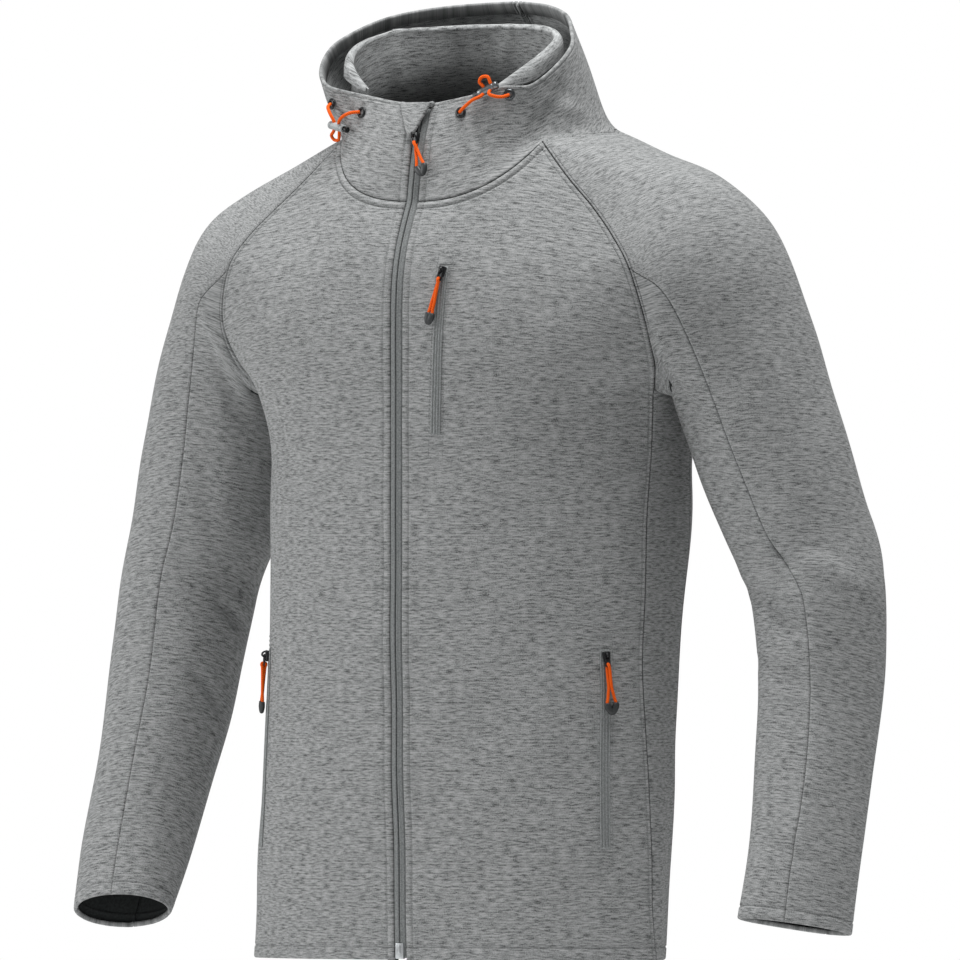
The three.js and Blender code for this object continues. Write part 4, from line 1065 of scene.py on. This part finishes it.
def sew_panel(panel):
    """Makes one cloth panel: creased, with its seams, folded edges and stitches, and its thickness."""
    grid, name = panel["grid"], panel["name"]
    normals = panel.get("normals", face_normals(grid, panel["facing"]))
    maps = cloth_map(grid, panel["kind"])
    moved = grid + normals * relief(grid, panel["part"])[..., None]
    data = np.concatenate([moved, normals, maps], axis=-1)
    ends = [FINISHES[edge] for edge in panel["edges"]]
    distances = [[d for d, _ in end["dip"]] for end in ends]
    data = relined(data, 0, distances[0], distances[1])
    data = relined(data, 1, distances[2], distances[3])
    dipped(data, 0, ends[0]["dip"], ends[1]["dip"])
    dipped(data, 1, ends[2]["dip"], ends[3]["dip"])
    sewing = bmesh.new()
    for k, end in enumerate(ends):
        lines = np.moveaxis(data, k // 2, 0)
        if k % 2:
            lines = lines[::-1]
        for d in end["stitches"]:
            line = lines[distances[k].index(d)]
            stitch_row(sewing, line[:, :3], line[:, 3:6])
    for k, end in enumerate(ends):
        if end["fold"]:
            data = folded(data, k // 2, k % 2 == 0, end["fold"])
    mesh = grid_mesh(data[..., :3], data[..., 6:8], panel["facing"])
    SEWN_CLOTH[name] = BVHTree.FromBMesh(mesh)
    piece = add_piece(f"cloth_{name}", mesh, PANEL_FACES, replaces=[name])
    add_wall(piece, WALL, INNER_FACE[panel["inner"]])
    stitches = [add_piece(f"stitches_{name}", sewing, THREAD)] if sewing.verts else []


for panel in PANELS:
    sew_panel(panel)


def hood_fold():
    """The hood's inner ring: creased cloth that comes up, folds over and runs down into the hollow."""
    moved = inner_ring + face_normals(inner_ring, 1) * relief(inner_ring, "inner")[..., None]
    mesh = grid_mesh(moved, cloth_map(inner_ring, "hood"))
    # The inner face, the side seen in the hood's hollow, gets the lightened heather: painted light for the
    # shade there
    piece = add_piece("cloth_hood_inner", mesh, [FACE, HOOD_INSIDE_PAINTED_LIGHT], replaces=["hood_inner"])
    add_wall(piece, WALL, 1)


hood_fold()

# Front zip
ZIP_BOX = {"width": 8.6, "height": 14, "thick": 4}
ZIP_TOP = 50
TAPE_STEP = 3
TAPE_WALL = 0.7
COIL_TOP = 20
TAPE_SECTION = [
    (0.6, -2.0), (0.55, -1.2), (0.8, -0.55), (1.5, -0.25), (2.2, -0.5), (2.7, -0.85), (4.5, -0.9),
    (5.5, -1.2), (6.1, -2.6), (7.3, -2.8),
]
TOOTH = {"pitch": 1.6, "half": (1.5, 0.55, 0.5), "out": -1.15, "lean": 0.35}


def moved_edge():
    """The fronts' zip edge from hem to chin on the finished cloth, left and right averaged."""
    sides = []
    for side in ("left", "right"):
        lines = [panel for panel in PANELS if panel["name"] in (f"front_{side}", f"hood_{side}")]
        edges = []
        for panel in lines:
            grid, normals = panel["grid"][:, 0], panel["normals"][:, 0]
            edges.append(grid + normals * relief(grid, panel["part"])[:, None])
        sides.append(np.concatenate([edges[0], edges[1][1:]]))
    edge = (sides[0] + sides[1]) / 2
    edge[:, 0] = 0
    return edge


def edge_span(edge, low, high, step):
    """Points of the zip's line between two heights, with the way out of the cloth at each."""
    heights = np.append(np.arange(low, high, step), high)
    line = np.stack([np.zeros_like(heights), np.interp(heights, edge[:, 2], edge[:, 1]), heights], axis=-1)
    along = np.gradient(line, axis=0)
    out = np.cross(along, np.array((-1.0, 0, 0)))
    out /= np.linalg.norm(out, axis=-1, keepdims=True)
    out *= -np.sign(out[:, 1:2])
    return line, out


def front_zip():
    """The two tapes with their rolled inner edges, the coil's teeth between them and the box at the hem."""
    edge = moved_edge()
    hem = TORSO[0]["z"]
    line, out = edge_span(edge, hem + 1, ZIP_TOP, TAPE_STEP)
    for side, facing in (("left", 1), ("right", -1)):
        rows = []
        for p, n in zip(line, out):
            rows.append([p + n * deep + vec(facing * x, 0, 0) for x, deep in TAPE_SECTION])
        grid = np.array(rows)
        maps = np.stack([grid[..., 0] * MM, grid[..., 2] * MM], axis=-1)
        mesh = grid_mesh(grid, maps, facing)
        piece = add_piece(f"tape_{side}", mesh, TAPE, replaces=[f"zip_tape_{side}"])
        add_wall(piece, TAPE_WALL)
    teeth = bmesh.new()
    line, out = edge_span(edge, hem + ZIP_BOX["height"] + 1, COIL_TOP, TOOTH["pitch"])
    for k, (p, n) in enumerate(zip(line, out)):
        lean = TOOTH["lean"] if k % 2 else -TOOTH["lean"]
        matrix = basis(p + n * TOOTH["out"] + vec(lean, 0, 0), (1, 0, 0), n, TOOTH["half"])
        bmesh.ops.create_icosphere(teeth, subdivisions=1, radius=1, matrix=matrix)
    add_piece("coil_teeth", teeth, COIL, replaces=["zip_coil"])
    box = rounded_block(ZIP_BOX["width"], ZIP_BOX["height"], ZIP_BOX["thick"], 1.1, 0.5)
    slot = rounded_block(2.2, ZIP_BOX["height"] * 0.55, 0.8, 0.4, 0.2)
    join(box, slot, basis(vec(0, 1.5, 2.1), (1, 0, 0), (0, 0, 1)))
    foot = vec(0, np.interp(hem, edge[:, 2], edge[:, 1]) + 1, hem + ZIP_BOX["height"] / 2 + 0.2)
    bmesh.ops.transform(box, matrix=basis(foot, (1, 0, 0), (0, -1, 0)), verts=box.verts)
    add_piece("hem_box", box, SILVER, replaces=["zip_box"], crisp=True)


# Small solid shapes, each made round its own middle in metres and then put in its place
def basis(at, across, out, half=None):
    """A matrix that puts a shape at a point in millimetres: X goes across, Z goes out, Y is square to both.

    A shape of radius 1 gets its half sizes in millimetres, and any other keeps its size."""
    across = unit(np.array(across, float))
    out = np.array(out, float)
    out = unit(out - across * (out @ across))
    size = half or (1, 1, 1)
    length = MM if half else 1
    columns = (across * size[0], np.cross(out, across) * size[1], out * size[2])
    return placed(*(column * length for column in columns), np.array(at, float) * MM)


def join(mesh, other, matrix=None):
    """Adds another shape to a mesh."""
    if matrix is not None:
        bmesh.ops.transform(other, matrix=matrix, verts=other.verts)
    data = bpy.data.meshes.new("part")
    other.to_mesh(data)
    other.free()
    mesh.from_mesh(data)
    bpy.data.meshes.remove(data)


def rounded_block(width, height, thick, corner, edge, foot=1.0):
    """A block with round corners in plan and softened edges; its foot may be narrower."""
    mesh = bmesh.new()
    bmesh.ops.create_cube(mesh, size=1)
    bmesh.ops.scale(mesh, vec=(width * MM, height * MM, thick * MM), verts=mesh.verts)
    low = [v for v in mesh.verts if v.co.y > 0]
    bmesh.ops.scale(mesh, vec=(foot, 1, 1), verts=low)
    upright = [e for e in mesh.edges if abs(e.verts[0].co.z - e.verts[1].co.z) > thick * MM / 2]
    bmesh.ops.bevel(
        mesh, geom=upright, offset=corner * MM, affect="EDGES", segments=5, profile=0.5, material=-1
    )
    rims = [e for e in mesh.edges if len(e.link_faces) == 2 and e.calc_face_angle(0) > 1]
    bmesh.ops.bevel(mesh, geom=rims, offset=edge * MM, affect="EDGES", segments=3, profile=0.5, material=-1)
    return mesh


def turned(profile, steps=28):
    """A turned shape round the Z axis from radius and height pairs in millimetres."""
    mesh = bmesh.new()
    verts = [mesh.verts.new((r * MM, 0, h * MM)) for r, h in profile]
    edges = [mesh.edges.new(pair) for pair in zip(verts, verts[1:])]
    bmesh.ops.spin(
        mesh, geom=verts + edges, cent=(0, 0, 0), axis=(0, 0, 1),
        angle=2 * math.pi, steps=steps, use_merge=True,
    )
    bmesh.ops.remove_doubles(mesh, verts=mesh.verts, dist=1e-6)
    bmesh.ops.recalc_face_normals(mesh, faces=mesh.faces)
    return mesh


FULLNESS = 0.75


def smooth_line(points, steps):
    return span_weights(len(points), steps) @ np.array(points, float)


def tube(line, radius, around=12):
    """A closed round tube along a line, with UV round it and along it, the length in metres."""
    along = np.gradient(line, axis=0)
    along /= np.linalg.norm(along, axis=-1, keepdims=True)
    start = np.array((0, 0, 1.0)) if abs(along[0][2]) < 0.9 else np.array((1.0, 0, 0))
    side = unit(np.cross(along[0], start))
    run = np.concatenate([[0], np.cumsum(np.linalg.norm(np.diff(line, axis=0), axis=-1))])
    grid = np.empty((len(line), around + 1, 3))
    maps = np.empty((len(line), around + 1, 2))
    for i, (p, way) in enumerate(zip(line, along)):
        side = unit(side - way * (side @ way))
        other = np.cross(way, side)
        for k in range(around + 1):
            a = 2 * math.pi * (k % around) / around
            grid[i, k] = p + (side * math.cos(a) + other * math.sin(a)) * radius
            maps[i, k] = (k / around, run[i] * MM)
    mesh = grid_mesh(grid, maps, wrap=True)
    bmesh.ops.holes_fill(mesh, edges=[e for e in mesh.edges if e.is_boundary], sides=0)
    bmesh.ops.recalc_face_normals(mesh, faces=mesh.faces)
    return mesh


def rounded(value):
    """A cosine or sine pressed outwards, which turns a round into a fuller one."""
    return math.copysign(abs(value) ** FULLNESS, value)


def lofted(sections, around=20):
    """A closed shape down the Y axis through full rounds: place, middle, half width and half thickness."""
    grid = []
    for y, middle, wide, thick in sections:
        ring_points = []
        for k in range(around + 1):
            a = 2 * math.pi * (k % around) / around
            ring_points.append(vec(middle + rounded(math.cos(a)) * wide, y, rounded(math.sin(a)) * thick))
        grid.append(ring_points)
    mesh = grid_mesh(np.array(grid), wrap=True)
    bmesh.ops.holes_fill(mesh, edges=[e for e in mesh.edges if e.is_boundary], sides=0)
    bmesh.ops.recalc_face_normals(mesh, faces=mesh.faces)
    return mesh


# Zip pulls: the pivot, the way down the pull, the way out of the cloth, the length, and the slider's place
PULLS = table(
    "name at hang out length slider_out spread",
    (
        "chest", (48.47, -146.25, -95.65),
        (-0.21844, -0.10712, -0.96995), (0.08611, -0.99219, 0.09019), 50.3, -2.25, 1.9,
    ),
    (
        "hand_left", (183.66, -81.38, -440.87),
        (0.0865, 0.04253, -0.99534), (0.76026, -0.64849, 0.03836), 53.2, -2.25, 4.0,
    ),
    (
        "hand_right", (-183.66, -81.38, -440.87),
        (-0.0865, 0.04253, -0.99534), (-0.76026, -0.64849, 0.03836), 53.2, -2.25, 4.0,
    ),
    (
        "front", (-3, -113.48, 26.13),
        (0.3949, -0.21486, -0.89325), (-0.01188, -0.97338, 0.22889), 41.4, -3.75, 3.8,
    ),
)
SLIDER = {"width": 8, "height": 10, "thick": 2.3, "down": 1, "corner": 1.8, "edge": 0.5, "foot": 0.72}
BRIDGE_RADIUS = 0.85
TAB = {"half": 2.6, "top": 1.7, "foot": 7.7, "eye": 1.55, "thick": 1.4, "edge": 0.22}
PULL_CORD_RADIUS = 1.4
TIP_SECTIONS = [
    (0, 1, 1.8, 1.6), (0.5, 1, 2.6, 2.1), (2.5, 0.95, 3.1, 2.3), (5, 0.75, 3.3, 2.4), (7.5, 0.5, 3.0, 2.2),
    (9.5, 0.3, 2.4, 1.9), (10.6, 0.15, 1.7, 1.3), (11, 0.1, 0.9, 0.7),
]


def tab_plate():
    """A flat tab with a hole at its head for the slider's bridge and an eye at its foot for the cord."""
    mesh = bmesh.new()
    reach = (TAB["foot"] - TAB["top"]) * MM
    bmesh.ops.create_circle(mesh, cap_ends=False, radius=TAB["half"] * MM, segments=32)
    low = [v for v in mesh.verts if v.co.y > 1e-6]
    bmesh.ops.translate(mesh, vec=(0, reach, 0), verts=low)
    for y in (0, reach):
        middle = Matrix.Translation((0, y, 0))
        bmesh.ops.create_circle(mesh, cap_ends=False, radius=TAB["eye"] * MM, segments=20, matrix=middle)
    bmesh.ops.triangle_fill(mesh, use_beauty=True, use_dissolve=False, edges=mesh.edges, normal=(0, 0, 1))
    made = bmesh.ops.extrude_face_region(mesh, geom=mesh.faces)
    top = [g for g in made["geom"] if isinstance(g, bmesh.types.BMVert)]
    bmesh.ops.translate(mesh, vec=(0, 0, TAB["thick"] * MM), verts=top)
    bmesh.ops.recalc_face_normals(mesh, faces=mesh.faces)
    rims = [e for e in mesh.edges if len(e.link_faces) == 2 and e.calc_face_angle(0) > 1]
    bmesh.ops.bevel(
        mesh, geom=rims, offset=TAB["edge"] * MM, affect="EDGES", segments=2, profile=0.5, material=-1
    )
    bmesh.ops.translate(mesh, vec=(0, TAB["top"] * MM, -TAB["thick"] / 2 * MM), verts=mesh.verts)
    return mesh


def pull_cord_line(tip, spread):
    """The cord's way from the tip, through the tab's eye and back, its strands parting low down."""
    eye = TAB["foot"]
    low = [(spread, tip + 1.5, 0), (spread, tip - 0.5, 0), (spread * 0.75, tip - 4, 0.1)]
    low += [(1.2 + spread * 0.22, tip - 9, 0.4), (1.2, tip - 15, 0.5)]
    high = [(0.9, eye + 4.5, 1.3), (0.3, eye + 1.8, 2.0), (0, eye + 0.1, 1.7), (0, eye - 0.35, 0)]
    down = [(-x, y, z) for x, y, z in low + high[:2]]
    up = [(x, y, -z) for x, y, z in reversed(low + high[:3])]
    return smooth_line(down + high[2:] + up, 5)


def moulded_tip(tip, spread):
    """A soft tip of two legs that run together below a notch, one round each strand."""
    mesh = bmesh.new()
    for facing in (1, -1):
        leg = [(y + tip, facing * spread * x, wide, thick) for y, x, wide, thick in TIP_SECTIONS]
        join(mesh, lofted(leg))
    return mesh


def zip_pull(pull):
    """A slider with its bridge, and the tab, cord and moulded tip that hang from it."""
    name = pull["name"]
    body = f"{name}_pull"
    hang, out = np.array(pull["hang"]), np.array(pull["out"])
    across = np.cross(hang, out)
    place = basis(pull["at"], across, out)
    shape = (SLIDER[key] for key in ("width", "height", "thick", "corner", "edge", "foot"))
    slider = rounded_block(*shape)
    bmesh.ops.translate(slider, vec=(0, SLIDER["down"] * MM, pull["slider_out"] * MM), verts=slider.verts)
    deck = pull["slider_out"] + SLIDER["thick"] / 2
    bridge = [(0, -3, deck - 0.3), (0, -2.6, 0.4), (0, -1.2, 1.9)]
    bridge += [(0, 0.6, 1.9), (0, 1.7, 0.3), (0, 2.0, deck - 0.3)]
    join(slider, tube(smooth_line(bridge, 5), BRIDGE_RADIUS, 10))
    bmesh.ops.transform(slider, matrix=place, verts=slider.verts)
    add_piece(
        f"{name}_zip_slider", slider, BLACK,
        replaces=[f"{name}_slider"], crisp=True,
    )
    tab = tab_plate()
    bmesh.ops.transform(tab, matrix=place, verts=tab.verts)
    add_piece(f"{name}_pull_tab", tab, BLACK, body, [f"{name}_tab"], crisp=True)
    tip_at = pull["length"] - TIP_SECTIONS[-1][0]
    cord = tube(pull_cord_line(tip_at, pull["spread"]), PULL_CORD_RADIUS)
    bmesh.ops.transform(cord, matrix=place, verts=cord.verts)
    add_piece(f"{name}_pull_cord", cord, ORANGE, body, [f"{name}_loop"])
    tip = moulded_tip(tip_at, pull["spread"])
    bmesh.ops.transform(tip, matrix=place, verts=tip.verts)
    add_piece(f"{name}_pull_tip", tip, RUBBER, body, [f"{name}_tip"])


# Pocket zips
CHEST_ZIP = {"top": (47.5, -92), "foot": (41.6, -243)}
HAND_ZIP = {"top": (179, -435), "foot": (184, -614)}
STRIP_SECTION = [
    (-4.8, 0.1), (-4.7, 0.8), (-4.1, 1.25), (-3.5, 1.1), (-3.2, -0.1), (-2.5, -0.1), (-2.2, 0.9), (-0.75, 0.95),
    (-0.4, -0.1), (0.4, -0.1), (0.75, 0.95), (2.2, 0.9), (2.5, -0.1), (3.2, -0.1), (3.5, 1.1), (4.1, 1.25),
    (4.7, 0.8), (4.8, 0.1),
]
STRIP_STEPS = 60
STRIP = {"wall": 0.4, "clear": 0.15, "ends": 0.15, "evened": 6}
STRIP_TOOTH = {"pitch": 1.5, "half": (0.62, 0.5, 0.3)}
POCKET_STITCHES = {"half": 6.9, "above": 13, "below": 20, "bar": 4.6, "bar_out": 2.2, "bar_pitch": 1.1}


BEFORE_FRONT = -400


def on_front(side, x, z):
    """The finished front's outer face at a place seen from the front: the point and the way out."""
    before = Vector((x, BEFORE_FRONT, z)) * MM
    at, normal, _, _ = SEWN_CLOTH[f"front_{side}"].ray_cast(before, Vector((0, 1, 0)))
    out = np.array(normal)
    return np.array(at) / MM, -out if out[1] > 0 else out


def strip_ways(base):
    """The ways out of the cloth and across a pocket's zip, evened along it."""
    outs = np.array([n for _, n in base])
    for _ in range(STRIP["evened"]):
        outs[1:-1] = (outs[:-2] + outs[2:] + outs[1:-1] * 2) / 4
    outs /= np.linalg.norm(outs, axis=-1, keepdims=True)
    across = np.array([unit(np.cross((0, 0, 1), n)) for n in outs]) * -1
    return outs, across


def strip_teeth(node, grid, outs, across):
    """The two rows of fine teeth that show between a pocket zip's tapes."""
    teeth = bmesh.new()
    for line in (grid[1:-1, 6:8].mean(axis=1), grid[1:-1, 10:12].mean(axis=1)):
        run = np.concatenate([[0], np.cumsum(np.linalg.norm(np.diff(line, axis=0), axis=-1))])
        for place in np.arange(1, run[-1] - 1, STRIP_TOOTH["pitch"]):
            at, out, aside = (
                vec(*(np.interp(place, run, values[:, k]) for k in range(3)))
                for values in (line, outs[1:-1], across[1:-1])
            )
            matrix = basis(at, aside, out, STRIP_TOOTH["half"])
            bmesh.ops.create_icosphere(teeth, subdivisions=1, radius=1, matrix=matrix)
    add_piece(f"{node}_teeth", teeth, STRIP_TAPE)


def sew_along(sewing, side, places, pitch=STITCH["pitch"]):
    """Lays stitches on the finished front, along places seen from the front."""
    spots = [on_front(side, x, z) for x, z in places]
    stitch_row(sewing, np.array([p for p, _ in spots]), np.array([n for _, n in spots]), pitch)


def pocket_stitches(node, side, top, foot, facing, half):
    """The stitching round a pocket's opening, and a short bar across each of its ends."""
    sewing = bmesh.new()
    way = unit(foot - top)
    high, low = top - way * POCKET_STITCHES["above"], foot + way * POCKET_STITCHES["below"]
    corners = [high + (-half, 0), low + (-half, 0), low + (half, 0), high + (half, 0), high + (-half, 0)]
    for start, end in zip(corners, corners[1:]):
        count = max(4, int(np.linalg.norm(end - start) / 3))
        places = [(start + (end - start) * k / count) * (facing, 1) for k in range(count + 1)]
        sew_along(sewing, side, places)
    bar = POCKET_STITCHES["bar"]
    for x, z in (top - way * POCKET_STITCHES["bar_out"], foot + way * POCKET_STITCHES["bar_out"]):
        ends = [((x + share * bar * half / POCKET_STITCHES["half"]) * facing, z) for share in (-1, 0, 1)]
        sew_along(sewing, side, ends, POCKET_STITCHES["bar_pitch"])
    add_piece(f"{node}_stitches", sewing, THREAD)


def pocket_zip(node, side, zip_line, facing):
    """A pocket's zip: welts, tape and coil in one strip, its teeth, and the stitching round the opening."""
    top, foot = np.array(zip_line["top"], float), np.array(zip_line["foot"], float)
    base = []
    for r in range(STRIP_STEPS + 1):
        x, z = top + (foot - top) * r / STRIP_STEPS
        base.append(on_front(side, x * facing, z))
    outs, across = strip_ways(base)
    grid = []
    for r, (p, _) in enumerate(base):
        ends = STRIP["ends"] if r in (0, STRIP_STEPS) else 1
        row = []
        for offset, height in STRIP_SECTION:
            spot, _ = on_front(side, (p + across[r] * offset)[0], p[2])
            row.append(spot + outs[r] * (height * ends + STRIP["clear"]))
        grid.append(row)
    grid = np.array(grid)
    maps = np.stack([grid[..., 0] * MM, grid[..., 2] * MM], axis=-1)
    piece = add_piece(f"{node}_strip", grid_mesh(grid, maps), STRIP_TAPE, replaces=[node])
    add_wall(piece, STRIP["wall"])
    strip_teeth(node, grid, outs, across)
    half = POCKET_STITCHES["half"] * abs(outs[len(outs) // 2][1])
    pocket_stitches(node, side, top, foot, facing, half)


# Chin guard
GUARD = {"foot": 27, "top": 55, "out": 5.6, "lie": 3.1, "rows": 13, "columns": 17, "bend": 220}
GUARD_CORNERS = {"foot_left": -3, "foot_right": -9, "top_left": 9, "top_right": -26}


def guard_grid(edge):
    """The flap over the zip's top, from its lowest corner to its upper edge."""
    rows = []
    corner = GUARD_CORNERS
    for t in np.linspace(0, 1, GUARD["rows"]):
        z = GUARD["foot"] + (GUARD["top"] - GUARD["foot"]) * t
        start = corner["foot_left"] + (corner["top_left"] - corner["foot_left"]) * t
        end = corner["foot_right"] + (corner["top_right"] - corner["foot_right"]) * t
        row = []
        for u in np.linspace(0, 1, GUARD["columns"]):
            x = start + (end - start) * u
            lift = GUARD["out"] + (GUARD["lie"] - GUARD["out"]) * u * t
            depth = np.interp(min(z, RIM["left"][0]["z"]), edge[:, 2], edge[:, 1])
            row.append(vec(x, depth - lift + x * x / GUARD["bend"], z))
        rows.append(row)
    return np.array(rows)


# Drawcords, eyelets and locks
EYELETS = table(
    "name at facing finish",
    ("right_outer", (-114.8, -75.1, 54.9), (-0.4, -0.91, 0.03), BLACK),
    ("right_inner", (-74.1, -88.3, 46.8), (-0.27, -0.93, 0.24), BLACK),
    ("left_inner", (39.3, -99.4, 45.9), (0.13, -0.97, 0.19), BLACK),
    ("left_outer", (82.2, -86, 62.1), (0.45, -0.89, -0.11), GUNMETAL),
)
EYELET_OUT = 0.6
EYELET_PROFILE = [
    (2.6, -0.5), (2.6, 0.7), (2.75, 1.1), (3.1, 1.35), (3.6, 1.35),
    (4.4, 1.05), (5.0, 0.55), (5.2, 0.15), (5.2, -0.2),
]
LOCK = {"length": 20, "plunger": 5, "gap": 0.4}
LOCKS = table(
    "side at along",
    ("right", (-101.1, -87.9, 34.2), (0.93, -0.29, -0.2)),
    ("left", (66.5, -96.4, 67), (-0.88, -0.19, -0.43)),
)
BARREL_PROFILE = [
    (0, -10), (2.5, -10), (3.2, -9.7), (3.6, -9.1), (3.6, -6.6), (3.3, -6.3), (3.3, -5.8), (3.6, -5.5),
    (3.6, 5.5), (3.3, 5.8), (3.3, 6.3), (3.6, 6.6), (3.6, 9.2), (3.2, 9.8), (2.5, 10), (2.3, 9.4), (0, 9.4),
]
PLUNGER_PROFILE = [(0, -3.4), (1.7, -3.4), (1.7, -0.6), (2.8, -0.3), (2.8, 1.9), (2.4, 2.4), (0, 2.5)]
DRAWCORD_RADIUS = 1.5
DRAWCORDS = table(
    "side outer loop inner entry leave",
    (
        "right",
        [(-115.3, -76.7, 54.9), (-113.5, -84, 52), (-108.5, -88, 46), (-104.6, -87.9, 39.4)],
        [
            (-105.2, -87.1, 30.2), (-108.8, -85.3, 26.6), (-105.8, -85.4, 22.6),
            (-99.8, -87.2, 22.6), (-97.9, -89.1, 29),
        ],
        [(-97.5, -90.2, 38.6), (-91, -94.5, 43), (-82, -95.4, 46.5), (-74.8, -90.8, 47.4)],
        (-104.5, -86.8, 34.9),
        (-97.7, -89, 33.5),
    ),
    (
        "left",
        [(83.2, -88.1, 61.8), (80.5, -95, 60), (75.5, -99, 60.4), (70, -100.8, 63)],
        [
            (68.9, -96.8, 72.8), (66.8, -97.8, 78), (61, -98.6, 77.6),
            (58.6, -98.6, 73.4), (61.8, -97.6, 69.6),
        ],
        [(62, -101.5, 60.8), (55, -104.8, 57), (46, -105, 50.5), (39.7, -102.1, 46.5)],
        (69.8, -95.7, 68.6),
        (63.2, -97.1, 65.4),
    ),
)


def cord_lock(side):
    """A cord lock's barrel and plunger."""
    lock = next(row for row in LOCKS if row["side"] == side)
    along = unit(np.array(lock["along"]))
    across = np.cross((0, 0, 1), along)
    barrel = turned(BARREL_PROFILE)
    bmesh.ops.transform(barrel, matrix=basis(lock["at"], across, along), verts=barrel.verts)
    plunger = turned(PLUNGER_PROFILE)
    end = np.array(lock["at"]) + along * ((LOCK["length"] + LOCK["plunger"]) / 2 + LOCK["gap"])
    bmesh.ops.transform(plunger, matrix=basis(end, across, along), verts=plunger.verts)
    body, knob = (PEWTER, PEWTER) if side == "left" else (PALE, BLACK)
    rows = (
        (f"lock_{side}_barrel", barrel, body, f"lock_{side}", "lock_barrel"),
        (f"plunger_{side}_knob", plunger, knob, f"plunger_{side}", "black_plastic"),
    )
    return [
        add_piece(name, mesh, finish, replaces=[node], crisp=True)
        for name, mesh, finish, node, slot in rows
    ]


def drawcord(row):
    """One side's drawcord: from its outer eyelet through the lock, round its loop and to the inner eyelet."""
    side = row["side"]
    line = smooth_line([*row["outer"], row["entry"], *row["loop"], row["leave"], *row["inner"]], 6)
    mesh = tube(line, DRAWCORD_RADIUS)
    nodes = [f"drawcord_{side}_{part}" for part in ("outer", "loop", "inner")]
    piece = add_piece(f"cord_{side}", mesh, ORANGE, replaces=nodes)
    cord_lock(side)


def eyelets():
    """The eyelets, each a rolled ring on the cloth."""
    for eyelet in EYELETS:
        mesh = turned(EYELET_PROFILE)
        facing = np.array(eyelet["facing"])
        at = np.array(eyelet["at"]) + unit(facing) * EYELET_OUT
        bmesh.ops.transform(mesh, matrix=basis(at, np.cross((0, 0, 1), facing), facing), verts=mesh.verts)
        node = f"eyelet_{eyelet['name']}"
        add_piece(
            f"{node}_ring", mesh, eyelet["finish"],
            replaces=[node], crisp=True,
        )


for row in DRAWCORDS:
    drawcord(row)
eyelets()
front_zip()
sew_panel({
    "name": "chin_guard", "grid": guard_grid(moved_edge()), "facing": -1, "kind": "hood", "part": "none",
    "edges": FLAP_EDGES, "inner": "same",
})
for pull in PULLS:
    zip_pull(pull)
pocket_zip("chest_zip", "left", CHEST_ZIP, 1)
pocket_zip("hand_zip_left", "left", HAND_ZIP, 1)
pocket_zip("hand_zip_right", "right", HAND_ZIP, -1)

# Stage and light
SURROUND = 0.31
FLOOR = {"radius": 6, "height": -0.86}
LAMPS_AIM = (0, 0, -0.25)
LAMPS = table(
    "name at size power",
    ("top", (0.4, -0.3, 2.4), 1.2, 98),
    ("side_right", (-2.4, -2.0, 0.7), 1.2, 50),
)


def stage_and_light():
    """A pale floor under the jacket, a white surround and two soft lamps."""
    floor = bmesh.new()
    bmesh.ops.create_circle(floor, cap_ends=True, radius=FLOOR["radius"], segments=96)
    bmesh.ops.translate(floor, verts=floor.verts, vec=(0, 0, FLOOR["height"]))
    data = bpy.data.meshes.new("floor")
    floor.to_mesh(data)
    floor.free()
    ground = bpy.data.objects.new("floor", data)
    bpy.context.scene.collection.objects.link(ground)
    data.materials.append(plain_finish("pale_floor", "f4f4f4", "f8f8f8", 0.9))
    world = bpy.data.worlds.new("surround")
    world.use_nodes = True
    tree = world.node_tree
    seen = add_node(tree, "ShaderNodeBackground", Color=(1, 1, 1, 1), Strength=1.0)
    tree.nodes["Background"].inputs["Color"].default_value = (1, 1, 1, 1)
    tree.nodes["Background"].inputs["Strength"].default_value = SURROUND
    rays = add_node(tree, "ShaderNodeLightPath")
    both = add_node(tree, "ShaderNodeMixShader")
    tree.links.new(rays.outputs["Is Camera Ray"], both.inputs[0])
    tree.links.new(tree.nodes["Background"].outputs[0], both.inputs[1])
    tree.links.new(seen.outputs[0], both.inputs[2])
    tree.links.new(both.outputs[0], tree.nodes["World Output"].inputs["Surface"])
    bpy.context.scene.world = world
    bpy.context.scene.view_settings.view_transform = "Standard"
    for lamp_row in LAMPS:
        lamp = bpy.data.lights.new(lamp_row["name"], "AREA")
        lamp.size = lamp_row["size"]
        lamp.energy = lamp_row["power"]
        holder = bpy.data.objects.new(lamp_row["name"], lamp)
        holder.location = lamp_row["at"]
        aim = Vector(LAMPS_AIM) - Vector(lamp_row["at"])
        holder.rotation_euler = aim.to_track_quat("-Z", "Y").to_euler()
        bpy.context.scene.collection.objects.link(holder)


stage_and_light()
